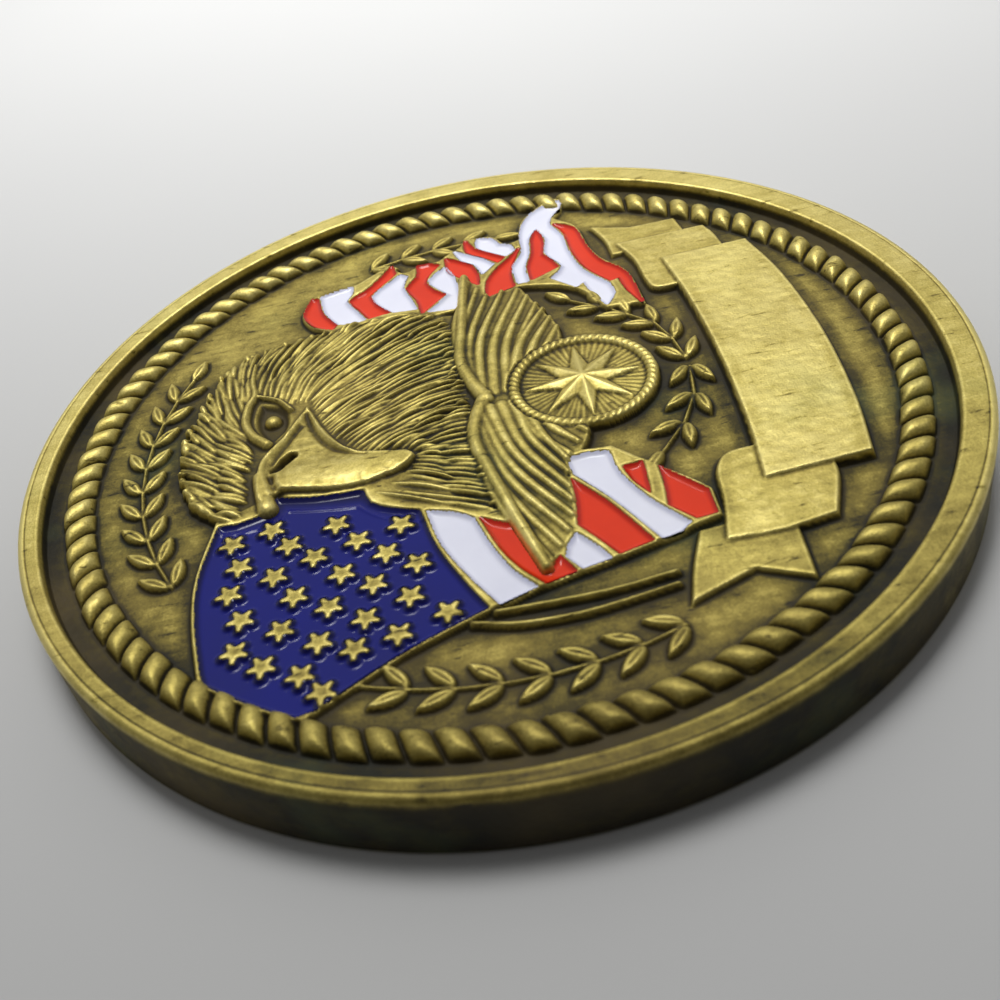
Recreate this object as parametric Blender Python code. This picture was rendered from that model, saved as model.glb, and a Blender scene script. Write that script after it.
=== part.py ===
"""A 50.8 mm struck brass challenge coin with soft-enamel cells.

The coin lies flat, obverse up. +Y is the top of the obverse's design and +X is its right-hand side.
The origin is the centre of the underside. Outlines and sizes are in millimetres, and to_metres turns
them into Blender's metres.
"""

import math

import bmesh
import bpy
from mathutils import Vector

# Driving dimensions, in millimetres
DIAMETER = 50.8
THICKNESS = 3.8
EDGE_CHAMFER = 0.25
RIM_INNER_RADIUS = 23.85
RIM_WALL_DRAFT = 0.12
STRIKE_SHIFT = (-0.3, 0.3)  # how far the dies' centre lies from the blank's centre
OBVERSE_RECESS = 0.85
REVERSE_RECESS = 0.6
BLANK_SEGMENTS = 80

ROPE_RADIUS = 22.0
ROPE_WIDTH = 1.5
ROPE_STRANDS = 90
ROPE_LEAN_DEG = 1.9  # how far round the coin a strand's outer end leads its inner end
ROPE_BELOW_RIM = 0.15
ROPE_GROOVE = 0.35  # how far the grooves between strands lie below their crests
REVERSE_ROPE_GROOVE = 0.25

FIELD_Z = THICKNESS - OBVERSE_RECESS
REVERSE_FIELD_Z = REVERSE_RECESS
ROOT_DEPTH = 0.3  # how far each raised shape reaches down into the metal under it
ROOT_STEP = 0.02  # each shape's root lies this much deeper than the one before, so no two share a plane
SHALLOW_ROOT = 0.06  # how far the feet of sloping shapes lie under the field
CUTTER_TOP = THICKNESS + 1  # where cutters end, clear of the metal

# Heights above the obverse field
ORNAMENT_HEIGHT = 0.36
CELL_WALL_HEIGHT = 0.45
RIBBON_TAIL_HEIGHT = 0.3
RIBBON_BACK_HEIGHT = 0.42
RIBBON_FRONT_HEIGHT = 0.56
WING_HEIGHT = 0.5
WREATH_HEIGHT = 0.4
COMPASS_HEIGHT = 0.74
RELIEF_BEVEL = 0.2
HEAD_HEIGHT = 0.62
FEATHER_HEIGHT = 0.74
BROW_HEIGHT = 0.8
BEAK_HEIGHT = 0.78
EYE_HEIGHT = 0.66
POLE_HEIGHT = 0.4
FEATHER_FOOT = 0.1
WING_FEATHER_HEIGHT = 0.64
SOCKET_FLOOR = 0.35
NOSTRIL_FLOOR = 0.4

# Widths of ridges
POLE_WIDTH = 0.5
BROW_WIDTH = 0.7
FEATHER_WIDTH = 0.42
WING_FEATHER_WIDTH = 0.75
RIDGE_END_SHARE = 0.25  # a ridge's width at its far end, over its width at its near end

# Enamel
CELL_FLOOR = 0.1  # below the field
ENAMEL_HEIGHT = 0.26  # above the field
ENAMEL_GAP = 0.03

SHARP_ANGLE_DEG = 30.0  # edges that turn more than this are shaded sharp
CURVE_STEP = 0.65  # spacing of the points along curved edges
POLE_STEP = 2.0
EYE_SEGMENTS = 10

# Each outline is a ring of edges. An edge is a list of points: two for a straight edge, more for a
# smooth curve through them. Each edge ends where the next one starts. A bare number stands for an arc
# of that radius about the dies' centre.
CANTON = [
    [(-15.4, 15.0), (-12.0, 15.45), (-9.0, 15.4), (-5.6, 14.6)],
    [(-5.6, 14.6), (-5.7, 13.6), (-5.35, 12.15)],
    [(-5.35, 12.15), (-4.3, 11.6)],
    [(-4.3, 11.6), (-4.9, 9.4), (-5.1, 7.05)],
    [(-5.1, 7.05), (-6.2, 6.75), (-7.0, 5.6), (-7.55, 4.35)],
    [(-7.55, 4.35), (-10.5, 3.75), (-13.3, 2.65), (-15.1, 1.8)],
    [(-15.1, 1.8), (-16.7, 5.9), (-18.9, 9.9)],
    21.45,
]
STAR_CENTRES = [
    (-14.55, 13.45), (-12.59, 13.21), (-10.76, 13.83), (-8.97, 13.38), (-7.24, 13.79), (-15.76, 12.17),
    (-13.76, 11.34), (-11.79, 10.69), (-10.17, 11.66), (-8.17, 10.93), (-6.79, 11.79), (-16.72, 10.45),
    (-15.0, 9.59), (-12.93, 9.07), (-10.93, 8.41), (-9.38, 9.69), (-7.38, 8.55), (-17.93, 9.52),
    (-15.83, 8.0), (-14.14, 7.41), (-12.07, 6.93), (-10.17, 6.21), (-8.86, 7.55), (-15.52, 6.0),
    (-13.34, 5.31), (-11.28, 4.79), (-8.34, 5.38), (-14.79, 3.69),
]
STAR_RADIUS = 0.69
STAR_WAIST = 0.46
STAR_TURN_DEG = 100.0

STRIPES = {
    "enamel_white_left_1": [
        [(-15.05, 1.4), (-13.0, 2.5), (-10.4, 3.6), (-7.7, 4.12)],
        [(-7.7, 4.12), (-8.2, 2.8), (-8.95, 1.85)],
        [(-8.95, 1.85), (-11.3, 1.2), (-13.1, 0.45), (-14.42, -0.5)],
        [(-14.42, -0.5), (-14.75, 0.5), (-15.05, 1.4)],
    ],
    "enamel_red_left_1": [
        [(-9.0, 1.62), (-11.4, 0.95), (-13.0, 0.2), (-14.38, -0.8)],
        [(-14.38, -0.8), (-14.02, -2.35)],
        [(-14.02, -2.35), (-12.75, -1.75)],
        [(-12.75, -1.75), (-13.45, -1.05)],
        [(-13.45, -1.05), (-11.8, -0.75), (-10.0, -0.45)],
        [(-10.0, -0.45), (-9.85, 0.3), (-9.0, 1.62)],
    ],
    "enamel_white_left_2": [
        [(-13.95, -2.55), (-12.95, -1.95)],
        [(-12.95, -1.95), (-12.2, -2.15), (-11.45, -2.7)],
        [(-11.45, -2.7), (-12.6, -3.5), (-13.65, -4.02)],
        [(-13.65, -4.02), (-13.95, -2.55)],
    ],
    "enamel_red_left_2": [
        [(-13.52, -4.35), (-12.2, -3.6), (-11.0, -2.85)],
        [(-11.0, -2.85), (-9.4, -3.1), (-7.62, -3.15)],
        [(-7.62, -3.15), (-9.6, -4.45), (-11.4, -5.35), (-13.1, -6.1)],
        [(-13.1, -6.1), (-13.52, -4.35)],
    ],
    "enamel_white_left_3": [
        [(-13.1, -6.4), (-11.2, -5.5), (-9.3, -4.5), (-7.4, -3.3)],
        [(-7.4, -3.3), (-6.1, -3.2)],
        [(-6.1, -3.2), (-5.95, -4.2), (-6.15, -5.35)],
        [(-6.15, -5.35), (-8.0, -5.55), (-10.0, -6.4), (-11.4, -7.3), (-12.4, -8.0)],
        [(-12.4, -8.0), (-12.9, -7.4), (-13.1, -6.4)],
    ],
    "enamel_red_left_3": [
        [(-9.95, -6.62), (-8.8, -6.0), (-7.55, -5.72)],
        [(-7.55, -5.72), (-7.45, -6.8)],
        [(-7.45, -6.8), (-9.95, -6.62)],
    ],
    "enamel_red_left_4": [
        [(-12.3, -8.22), (-11.0, -7.18)],
        [(-11.0, -7.18), (-9.6, -7.35), (-8.0, -7.4)],
        [(-8.0, -7.4), (-9.2, -8.35), (-10.45, -9.3)],
        [(-10.45, -9.3), (-12.2, -9.3)],
        [(-12.2, -9.3), (-12.3, -8.22)],
    ],
    "enamel_red_right_1": [
        [(10.5, 8.25), (11.2, 9.3), (12.7, 9.95), (14.4, 9.45)],
        [(14.4, 9.45), (14.3, 9.12)],
        [(14.3, 9.12), (12.4, 8.85), (10.85, 8.05)],
        [(10.85, 8.05), (10.5, 8.25)],
    ],
    "enamel_white_right_1": [
        [(10.95, 7.9), (12.5, 8.6), (14.45, 8.85)],
        [(14.45, 8.85), (14.7, 7.9), (14.85, 6.9)],
        [(14.85, 6.9), (14.1, 6.95), (13.3, 7.35), (12.1, 6.85), (10.8, 6.3)],
        [(10.8, 6.3), (10.65, 7.1), (10.95, 7.9)],
    ],
    "enamel_red_right_2": [
        [(10.85, 6.0), (12.1, 6.55), (13.3, 7.05), (14.0, 6.1), (15.1, 5.1), (16.35, 4.25)],
        [(16.35, 4.25), (15.4, 4.1), (14.5, 4.9), (13.4, 5.85)],
        [(13.4, 5.85), (12.2, 5.55), (11.0, 4.75)],
        [(11.0, 4.75), (10.85, 6.0)],
    ],
    "enamel_white_right_2": [
        [(10.95, 4.45), (12.0, 5.2), (13.25, 5.6), (14.3, 4.6), (15.05, 3.75)],
        [(15.05, 3.75), (14.7, 3.4)],
        [(14.7, 3.4), (13.5, 3.75), (12.1, 3.4), (10.75, 3.1)],
        [(10.75, 3.1), (10.95, 4.45)],
    ],
    "enamel_red_right_3": [
        [(10.15, 2.75), (11.8, 2.95), (13.3, 3.45), (14.4, 2.7), (15.7, 2.6)],
        [(15.7, 2.6), (15.75, 1.9), (15.3, 1.3)],
        [(15.3, 1.3), (14.6, 1.85), (13.6, 2.3), (12.4, 1.85), (11.7, 1.25)],
        [(11.7, 1.25), (10.9, 2.05), (10.15, 2.75)],
    ],
    "enamel_white_right_3": [
        [(10.15, 2.35), (10.9, 1.65), (11.65, 0.95)],
        [(11.65, 0.95), (12.7, 1.65), (13.7, 2.0), (14.8, 0.95)],
        [(14.8, 0.95), (13.6, 0.55), (11.6, 0.45), (9.85, 0.5)],
        [(9.85, 0.5), (10.15, 2.35)],
    ],
    "enamel_red_right_4": [
        [(12.0, -0.88), (13.4, 0.2), (14.4, 0.75), (15.85, 0.75)],
        [(15.85, 0.75), (15.1, -0.1), (14.4, -0.7)],
        [(14.4, -0.7), (13.2, -0.95), (12.0, -0.88)],
    ],
    "enamel_white_right_4": [
        [(13.15, -1.3), (14.5, -0.95), (15.3, -0.2), (16.5, 0.1)],
        [(16.5, 0.1), (15.6, -0.8), (14.9, -1.5), (14.0, -2.05)],
        [(14.0, -2.05), (13.15, -1.3)],
    ],
    "enamel_red_right_5": [
        [(14.15, -2.4), (15.2, -1.55), (16.2, -0.6), (17.55, -0.7)],
        [(17.55, -0.7), (16.4, -1.1), (15.5, -1.85), (14.55, -2.8)],
        [(14.55, -2.8), (14.15, -2.4)],
    ],
    "enamel_white_right_5": [
        [(14.75, -3.0), (15.6, -2.1), (16.5, -1.35), (17.5, -1.5)],
        [(17.5, -1.5), (17.2, -2.3), (16.3, -2.7)],
        [(16.3, -2.7), (15.9, -3.4), (15.2, -3.55), (14.75, -3.0)],
    ],
    "enamel_red_right_6": [
        [(10.4, -1.25), (12.1, -1.5), (13.3, -2.2), (14.2, -3.05), (15.2, -3.85)],
        [(15.2, -3.85), (13.9, -3.35), (12.6, -2.95), (10.95, -2.95)],
        [(10.95, -2.95), (10.4, -1.25)],
    ],
    "enamel_white_right_6": [
        [(11.15, -3.3), (13.2, -3.25), (14.6, -4.05), (17.2, -4.3), (19.2, -5.2), (20.4, -6.9)],
        [(20.4, -6.9), (20.15, -7.4), (19.3, -7.15)],
        [
            (19.3, -7.15), (18.3, -6.4), (17.3, -6.2), (16.0, -6.65), (13.6, -6.75), (11.2, -7.2),
            (9.1, -8.4),
        ],
        [(9.1, -8.4), (7.9, -8.5), (6.85, -7.9)],
        [(6.85, -7.9), (8.4, -7.35), (9.9, -7.1)],
        [(9.9, -7.1), (9.45, -6.55)],
        [(9.45, -6.55), (10.95, -5.3)],
        [(10.95, -5.3), (12.0, -6.2), (14.0, -5.45), (15.8, -5.75), (17.35, -5.3)],
        [(17.35, -5.3), (16.2, -4.6), (14.4, -4.35), (12.8, -3.85), (11.15, -3.85)],
        [(11.15, -3.85), (11.15, -3.3)],
    ],
    "enamel_red_right_7": [
        [(11.25, -4.15), (12.8, -4.15), (14.4, -4.65), (16.0, -4.85), (17.0, -5.25)],
        [(17.0, -5.25), (15.7, -5.45), (14.0, -5.15)],
        [(14.0, -5.15), (13.0, -5.6), (12.1, -5.85)],
        [(12.1, -5.85), (11.25, -4.15)],
    ],
    "enamel_red_right_8": [
        [(9.3, -8.6), (11.3, -7.5), (13.6, -7.05), (16.0, -6.95), (17.3, -6.5)],
        [(17.3, -6.5), (16.4, -7.6), (14.0, -7.9), (11.9, -8.4), (9.9, -9.6), (6.4, -9.85)],
        [(6.4, -9.85), (7.9, -9.35), (9.5, -9.15)],
        [(9.5, -9.15), (9.3, -8.6)],
    ],
}

LEFT_FLAG = [
    [(-16.0, 15.2), (-12.0, 15.72), (-9.0, 15.68), (-5.2, 14.85)],
    [(-5.2, 14.85), (-3.6, 10.0), (-4.4, 4.2)],
    [(-4.4, 4.2), (-8.6, 0.9), (-7.4, -3.0)],
    [(-7.4, -3.0), (-5.6, -3.0), (-5.7, -5.6)],
    [(-5.7, -5.6), (-7.2, -6.9)],
    [(-7.2, -6.9), (-9.2, -8.65), (-10.4, -9.55)],
    [(-10.4, -9.55), (-12.45, -9.55)],
    [(-12.45, -9.55), (-13.6, -5.0), (-14.7, -0.2), (-15.35, 1.9)],
    [(-15.35, 1.9), (-16.9, 6.0), (-19.1, 10.0)],
    21.65,
]
RIGHT_FLAG = [
    [(9.6, 8.1), (11.0, 9.5), (12.8, 10.2), (14.7, 9.6)],
    [(14.7, 9.6), (14.85, 8.2), (15.2, 6.6)],
    [(15.2, 6.6), (16.8, 4.3)],
    [(16.8, 4.3), (15.4, 3.5), (16.0, 2.4)],
    [(16.0, 2.4), (15.9, 1.3), (16.3, 0.9)],
    [(16.3, 0.9), (17.0, -0.1), (17.95, -0.65)],
    [(17.95, -0.65), (17.5, -2.5), (16.3, -3.2), (16.4, -4.0)],
    [(16.4, -4.0), (18.6, -4.4), (20.2, -5.9), (20.75, -7.1)],
    [(20.75, -7.1), (20.2, -7.7), (18.2, -6.7)],
    [(18.2, -6.7), (16.5, -7.9), (14.0, -8.2), (12.0, -8.75), (9.9, -9.9), (6.1, -10.15)],
    [(6.1, -10.15), (6.4, -7.7)],
    [(6.4, -7.7), (9.3, -6.2), (10.6, -3.0), (9.6, -1.0)],
    [(9.6, -1.0), (9.4, 3.0), (10.2, 5.8), (9.6, 8.1)],
]
HEAD = [
    [
        (-5.6, 13.2), (-5.5, 14.4), (-4.4, 15.9), (-2.4, 17.1), (0.4, 17.35), (3.4, 16.5), (6.4, 15.3),
        (9.0, 13.7), (10.0, 11.6), (10.4, 9.0), (10.75, 6.0), (10.5, 3.2), (9.7, 0.3),
    ],
    [(9.7, 0.3), (-9.5, 0.2)],
    [(-9.5, 0.2), (-8.9, 1.8), (-7.8, 3.6), (-6.8, 5.6), (-5.2, 6.95)],
    [(-5.2, 6.95), (-4.9, 8.8), (-4.15, 11.4)],
    [(-4.15, 11.4), (-5.25, 12.1), (-5.6, 13.2)],
]
BEAK = [
    [(-5.3, 12.15), (-4.6, 12.7), (-3.0, 12.8), (-1.2, 12.5), (0.4, 11.4), (3.0, 9.85)],
    [(3.0, 9.85), (0.4, 8.9), (-1.6, 7.7), (-2.4, 6.4), (-2.9, 4.5)],
    [(-2.9, 4.5), (-3.6, 4.1), (-4.5, 5.0), (-5.0, 6.8)],
    [(-5.0, 6.8), (-4.9, 8.8), (-4.25, 11.3)],
    [(-4.25, 11.3), (-4.5, 11.7), (-5.3, 12.15)],
]
EYE_CENTRE = (2.0, 11.8)
EYE_RADIUS = 0.55
EYE_SOCKET = [
    [(0.5, 11.95), (1.5, 12.6), (2.8, 12.75), (4.1, 12.45)],
    [(4.1, 12.45), (3.2, 11.4), (1.9, 10.9), (0.5, 11.95)],
]
BROW = [(0.4, 12.3), (1.7, 13.2), (3.3, 13.2), (4.8, 12.7), (6.6, 12.9)]
NOSTRIL = [(-2.2, 11.8), (-1.3, 11.5), (-1.4, 10.7)]

# Feathers run from a root curve to a tip curve: (roots, tips, count)
FEATHER_FANS = [
    ([(-4.9, 13.7), (-1.5, 13.4), (1.6, 13.9)], [(-4.5, 15.6), (-1.4, 17.0), (3.2, 16.3)], 9),
    ([(4.6, 13.3), (6.8, 12.4), (6.4, 11.2)], [(6.5, 14.8), (9.2, 12.6), (9.8, 9.6)], 5),
    ([(3.9, 9.7), (5.6, 10.4)], [(8.3, 2.0), (9.9, 6.6)], 4),
    ([(-1.4, 7.2), (3.0, 9.2)], [(0.6, 1.8), (6.6, 2.0)], 7),
    ([(-5.6, 6.2), (-3.2, 3.8), (-1.9, 4.6)], [(-8.4, 1.9), (-4.2, 1.6), (-0.8, 1.8)], 8),
]
FAN_PITCH = 0.2  # how closely the root and tip curves are divided

RIBBON_FRONT = [
    [(-10.75, -11.8), (-6.0, -12.25), (0.0, -12.45), (6.0, -12.25), (10.45, -11.8)],
    [(10.45, -11.8), (10.55, -17.2)],
    [(10.55, -17.2), (6.0, -18.05), (0.0, -18.35), (-6.0, -18.0), (-10.45, -17.3)],
    [(-10.45, -17.3), (-10.75, -11.8)],
]
RIBBON_BACKS = [
    [
        [(-14.1, -9.05), (-11.5, -9.6), (-9.2, -9.9), (-8.1, -10.8), (-8.0, -12.8)],
        [(-8.0, -12.8), (-10.0, -15.35)],
        [(-10.0, -15.35), (-11.2, -15.35), (-13.85, -14.4)],
        [(-13.85, -14.4), (-14.2, -11.8), (-14.1, -9.05)],
    ],
    [
        [(7.3, -12.8), (7.4, -10.9), (8.6, -10.45), (11.0, -10.3), (13.35, -9.6)],
        [(13.35, -9.6), (13.4, -15.3)],
        [(13.4, -15.3), (12.0, -15.7), (9.8, -15.9)],
        [(9.8, -15.9), (7.3, -12.8)],
    ],
]
RIBBON_TAILS = [
    [
        [(-17.3, -6.65), (-15.3, -7.2), (-12.9, -8.1)],
        [(-12.9, -8.1), (-12.6, -12.6)],
        [(-12.6, -12.6), (-17.3, -12.3)],
        [(-17.3, -12.3), (-16.05, -9.9)],
        [(-16.05, -9.9), (-17.3, -6.65)],
    ],
    [
        [(12.2, -9.2), (14.2, -9.1), (16.3, -8.5)],
        [(16.3, -8.5), (15.2, -11.0)],
        [(15.2, -11.0), (15.2, -13.9)],
        [(15.2, -13.9), (12.2, -14.3)],
        [(12.2, -14.3), (12.2, -9.2)],
    ],
]

LEFT_WING = [
    [(0.4, 0.1), (-1.4, 0.8), (-3.4, 1.1), (-6.0, 0.65), (-9.6, -0.1), (-13.4, -1.02)],
    [(-13.4, -1.02), (-12.4, -1.95), (-10.6, -2.7), (-8.0, -3.05), (-5.9, -3.1)],
    [(-5.9, -3.1), (-5.7, -4.2), (-4.0, -4.9), (-2.4, -4.4)],
    [(-2.4, -4.4), (0.4, -3.2)],
    [(0.4, -3.2), (0.4, 0.1)],
]
RIGHT_WING = [
    [(0.1, -3.2), (3.0, -4.6), (5.6, -4.9), (7.6, -4.3)],
    [(7.6, -4.3), (9.6, -3.7), (10.8, -3.1), (10.3, -1.15)],
    [(10.3, -1.15), (11.9, -0.95), (12.8, -0.1)],
    [(12.8, -0.1), (10.0, 0.3), (6.6, 0.75), (4.2, 1.05), (2.2, 0.75), (0.1, 0.1)],
    [(0.1, 0.1), (0.1, -3.2)],
]
WING_FEATHERS = [
    [(-2.6, 0.4), (-6.5, 0.1), (-12.6, -1.1)],
    [(-3.0, -0.7), (-6.5, -0.9), (-11.6, -1.7)],
    [(-2.8, -1.7), (-6.0, -1.9), (-9.6, -2.5)],
    [(-2.4, -2.8), (-4.4, -3.4), (-5.5, -4.2)],
    [(3.2, 0.4), (7.0, 0.0), (12.0, -0.3)],
    [(3.4, -0.7), (6.6, -1.0), (9.9, -1.3)],
    [(3.2, -1.7), (6.4, -2.1), (9.9, -2.6)],
    [(2.9, -2.7), (5.2, -3.3), (7.4, -3.9)],
]
COMPASS_CENTRE = (-0.3, -4.9)
COMPASS_RADIUS = 3.5
COMPASS_WAIST = 0.34
WREATH_BRANCHES = [
    [(-0.6, -10.9), (-4.2, -10.2), (-6.6, -8.4), (-9.2, -6.9)],
    [(0.0, -10.9), (3.4, -10.2), (5.6, -8.2), (8.3, -6.0)],
]
FLAG_POLE = [
    [(-15.75, 2.7), (-16.35, 0.5), (-16.45, -2.6), (-15.95, -6.5)],
    [(-15.35, 1.6), (-15.45, -0.8), (-15.5, -3.5), (-15.2, -6.6)],
]
# The radius, first angle and last angle of each branch
LAUREL_ARCS = [(18.7, 118.0, 62.0), (19.1, 200.0, 157.0), (18.0, 17.0, -9.0)]
LAUREL_PITCH = 2.15
LEAF_LENGTH = 1.75
LEAF_SLENDERNESS = 0.36  # width over length
LEAF_SPREAD_DEG = 34.0
LEAF_WIDEST = 0.45  # the share of a leaf's length at which it is widest
LEAF_OFFSET = 0.11  # how far a leaf's root lies to the side of its stem, over the leaf's length

# The reverse: an eight-pointed star in a laurel ring
REVERSE_STAR_RADIUS = 11.0
REVERSE_STAR_WAIST = 0.36
REVERSE_STAR_HEIGHT = 0.5
REVERSE_LAUREL_RADIUS = 16.4
REVERSE_LAUREL_ARCS = [(-84.0, 75.0), (264.0, 105.0)]  # the first and last angle of each branch
REVERSE_LAUREL_PITCH = 4.2
REVERSE_LEAF_LENGTH = 3.4
REVERSE_LEAF_HEIGHT = 0.3


def to_metres(x, y, z):
    return Vector((x, y, z)) * 0.001


def principled(name, colour, roughness, metallic=0.0):
    """A material with one Principled BSDF."""
    made = bpy.data.materials.new(name)
    made.use_nodes = True
    shader = made.node_tree.nodes["Principled BSDF"]
    shader.inputs["Base Color"].default_value = (*colour, 1.0)
    shader.inputs["Roughness"].default_value = roughness
    shader.inputs["Metallic"].default_value = metallic
    return made


def object_from(name, bm, material=None):
    """The bmesh as an object: a finished piece if it has a material, or else a hidden Boolean tool."""
    bmesh.ops.recalc_face_normals(bm, faces=bm.faces)
    mesh = bpy.data.meshes.new(name)
    bm.to_mesh(mesh)
    bm.free()
    made = bpy.data.objects.new(name, mesh)
    bpy.context.scene.collection.objects.link(made)
    if material:
        mesh.materials.append(material)
        mesh.shade_smooth()
        mesh.set_sharp_from_angle(angle=math.radians(SHARP_ANGLE_DEG))
    else:
        made.hide_render = True
        made.display_type = "WIRE"
    return made


def spline(points):
    """Points about CURVE_STEP apart on the Catmull-Rom curve through the given points, without the last."""
    if len(points) == 2:
        return [points[0]]
    before = (2 * points[0][0] - points[1][0], 2 * points[0][1] - points[1][1])
    after = (2 * points[-1][0] - points[-2][0], 2 * points[-1][1] - points[-2][1])
    knots = [Vector(p) for p in (before, *points, after)]
    found = []
    for a, b, c, d in zip(knots, knots[1:], knots[2:], knots[3:]):
        count = max(1, round((c - b).length / CURVE_STEP))
        for i in range(count):
            t = i / count
            cubic = t * (3 * b - a - 3 * c + d)
            on_curve = b + 0.5 * t * ((c - a) + t * ((2 * a - 5 * b + 4 * c - d) + cubic))
            found.append((on_curve.x, on_curve.y))
    return found


def outline(edges):
    """One closed ring of points from a list of edges."""
    ring = []
    for i, edge in enumerate(edges):
        if isinstance(edge, float):
            ring += arc_between(edges[i - 1][-1], edges[(i + 1) % len(edges)][0], edge)
        else:
            ring += spline(edge)
    return ring


def arc_between(start, end, radius):
    """The start point, then points on a circle about the dies' centre, up to the end point's angle."""
    cx, cy = STRIKE_SHIFT
    first = math.atan2(start[1] - cy, start[0] - cx)
    last = math.atan2(end[1] - cy, end[0] - cx)
    count = round(abs(last - first) * radius / CURVE_STEP)
    turned = [first + (last - first) * i / count for i in range(1, count)]
    return [start] + [(cx + radius * math.cos(a), cy + radius * math.sin(a)) for a in turned]


def signed_area(ring):
    return 0.5 * sum(a[0] * b[1] - b[0] * a[1] for a, b in zip(ring, ring[1:] + ring[:1]))


def grown(ring, distance):
    """The ring moved outwards by distance, or inwards if it is negative, with mitred corners."""
    outward = distance if signed_area(ring) > 0 else -distance
    found = []
    for i, here in enumerate(ring):
        into = (Vector(here) - Vector(ring[i - 1])).normalized()
        out = (Vector(ring[(i + 1) % len(ring)]) - Vector(here)).normalized()
        bisector = Vector((into.y + out.y, -into.x - out.x))
        moved = Vector(here) + bisector * outward / max(0.5, bisector.length_squared / 2)
        found.append((moved.x, moved.y))
    return found


def star(centre, radius, waist, points, turn_deg):
    """A star's ring: points tips at radius, and as many waists at waist times radius."""
    ring = []
    for i in range(2 * points):
        angle = math.radians(turn_deg) + math.pi * i / points
        reach = radius if i % 2 == 0 else radius * waist
        ring.append((centre[0] + reach * math.cos(angle), centre[1] + reach * math.sin(angle)))
    return ring


def add_rings(bm, rings):
    """A closed solid skinned over rings of the same number of (x, y, z) points, with an n-gon at each end."""
    made = [[bm.verts.new(to_metres(*p)) for p in ring] for ring in rings]
    for low, high in zip(made, made[1:]):
        for i in range(len(low)):
            j = (i + 1) % len(low)
            bm.faces.new((low[i], low[j], high[j], high[i]))
    bm.faces.new(made[0])
    bm.faces.new(made[-1])


def add_prism(bm, ring, low, high):
    add_rings(bm, [[(x, y, z) for x, y in ring] for z in (low, high)])


def add_bevelled(bm, ring, low, high, bevel):
    """A prism whose top edge is chamfered by bevel, at 45 degrees or less."""
    shoulder = high - 0.5 * bevel
    top = grown(ring, -bevel)
    add_rings(bm, [[(x, y, z) for x, y in r] for r, z in ((ring, low), (ring, shoulder), (top, high))])


def add_pyramid(bm, ring, low, centre, high):
    """A faceted cone on the ring at low, with its apex over centre at high."""
    base = [bm.verts.new(to_metres(x, y, low)) for x, y in ring]
    apex = bm.verts.new(to_metres(*centre, high))
    for i in range(len(ring)):
        bm.faces.new((base[i], base[(i + 1) % len(ring)], apex))
    bm.faces.new(base)


def add_ridge(bm, path, width, low, high):
    """A roof-shaped ridge along a path of (x, y) points, narrowing to its far end."""
    sections = []
    last = len(path) - 1
    for i, here in enumerate(path):
        ahead = Vector(path[min(i + 1, last)]) - Vector(path[max(i - 1, 0)])
        narrowed = 1 - (1 - RIDGE_END_SHARE) * i / last
        side = Vector((-ahead.y, ahead.x)).normalized() * width / 2 * narrowed
        left, right = Vector(here) + side, Vector(here) - side
        sections.append([(left.x, left.y, low), (*here, high), (right.x, right.y, low)])
    add_rings(bm, sections)


def add_leaf(bm, root, direction_deg, length, low, high):
    """A laurel leaf from its root: a kite that rises to a point."""
    direction = math.radians(direction_deg)
    along = Vector((math.cos(direction), math.sin(direction)))
    side = Vector((-along.y, along.x)) * LEAF_SLENDERNESS * length / 2
    start = Vector(root)
    middle = start + LEAF_WIDEST * length * along
    tip = start + length * along
    kite = [tuple(p) for p in (start, middle - side, tip, middle + side)]
    add_pyramid(bm, kite, low, tuple(middle), high)


def add_laurel(bm, path, low, high, length=LEAF_LENGTH):
    """Pairs of leaves along a path of (x, y) points, a pair at each point, and one leaf at the end."""
    for here, there in zip(path, path[1:]):
        heading = math.degrees(math.atan2(there[1] - here[1], there[0] - here[0]))
        for side in (-1, 1):
            turned = math.radians(heading + 90 * side)
            offset = LEAF_OFFSET * length
            root = (here[0] + offset * math.cos(turned), here[1] + offset * math.sin(turned))
            add_leaf(bm, root, heading + side * LEAF_SPREAD_DEG, length, low, high)
    add_leaf(bm, path[-1], heading, length, low, high)


def along_curve(points, pitch):
    """Points pitch apart along the smooth curve through the given points."""
    fine = [Vector(p) for p in spline(points) + [points[-1]]]
    lengths = [0.0]
    for a, b in zip(fine, fine[1:]):
        lengths.append(lengths[-1] + (b - a).length)
    count = max(1, round(lengths[-1] / pitch))
    found = []
    for i in range(count + 1):
        target = lengths[-1] * i / count
        k = max(1, next(k for k, at in enumerate(lengths) if at >= target - 1e-9))
        share = (target - lengths[k - 1]) / (lengths[k] - lengths[k - 1])
        found.append(tuple(fine[k - 1].lerp(fine[k], share)))
    return found


def arc_path(radius, first_deg, last_deg, pitch):
    cx, cy = STRIKE_SHIFT
    count = round(abs(math.radians(last_deg - first_deg)) * radius / pitch)
    angles = [math.radians(first_deg + (last_deg - first_deg) * i / count) for i in range(count + 1)]
    return [(cx + radius * math.cos(a), cy + radius * math.sin(a)) for a in angles]


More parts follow.
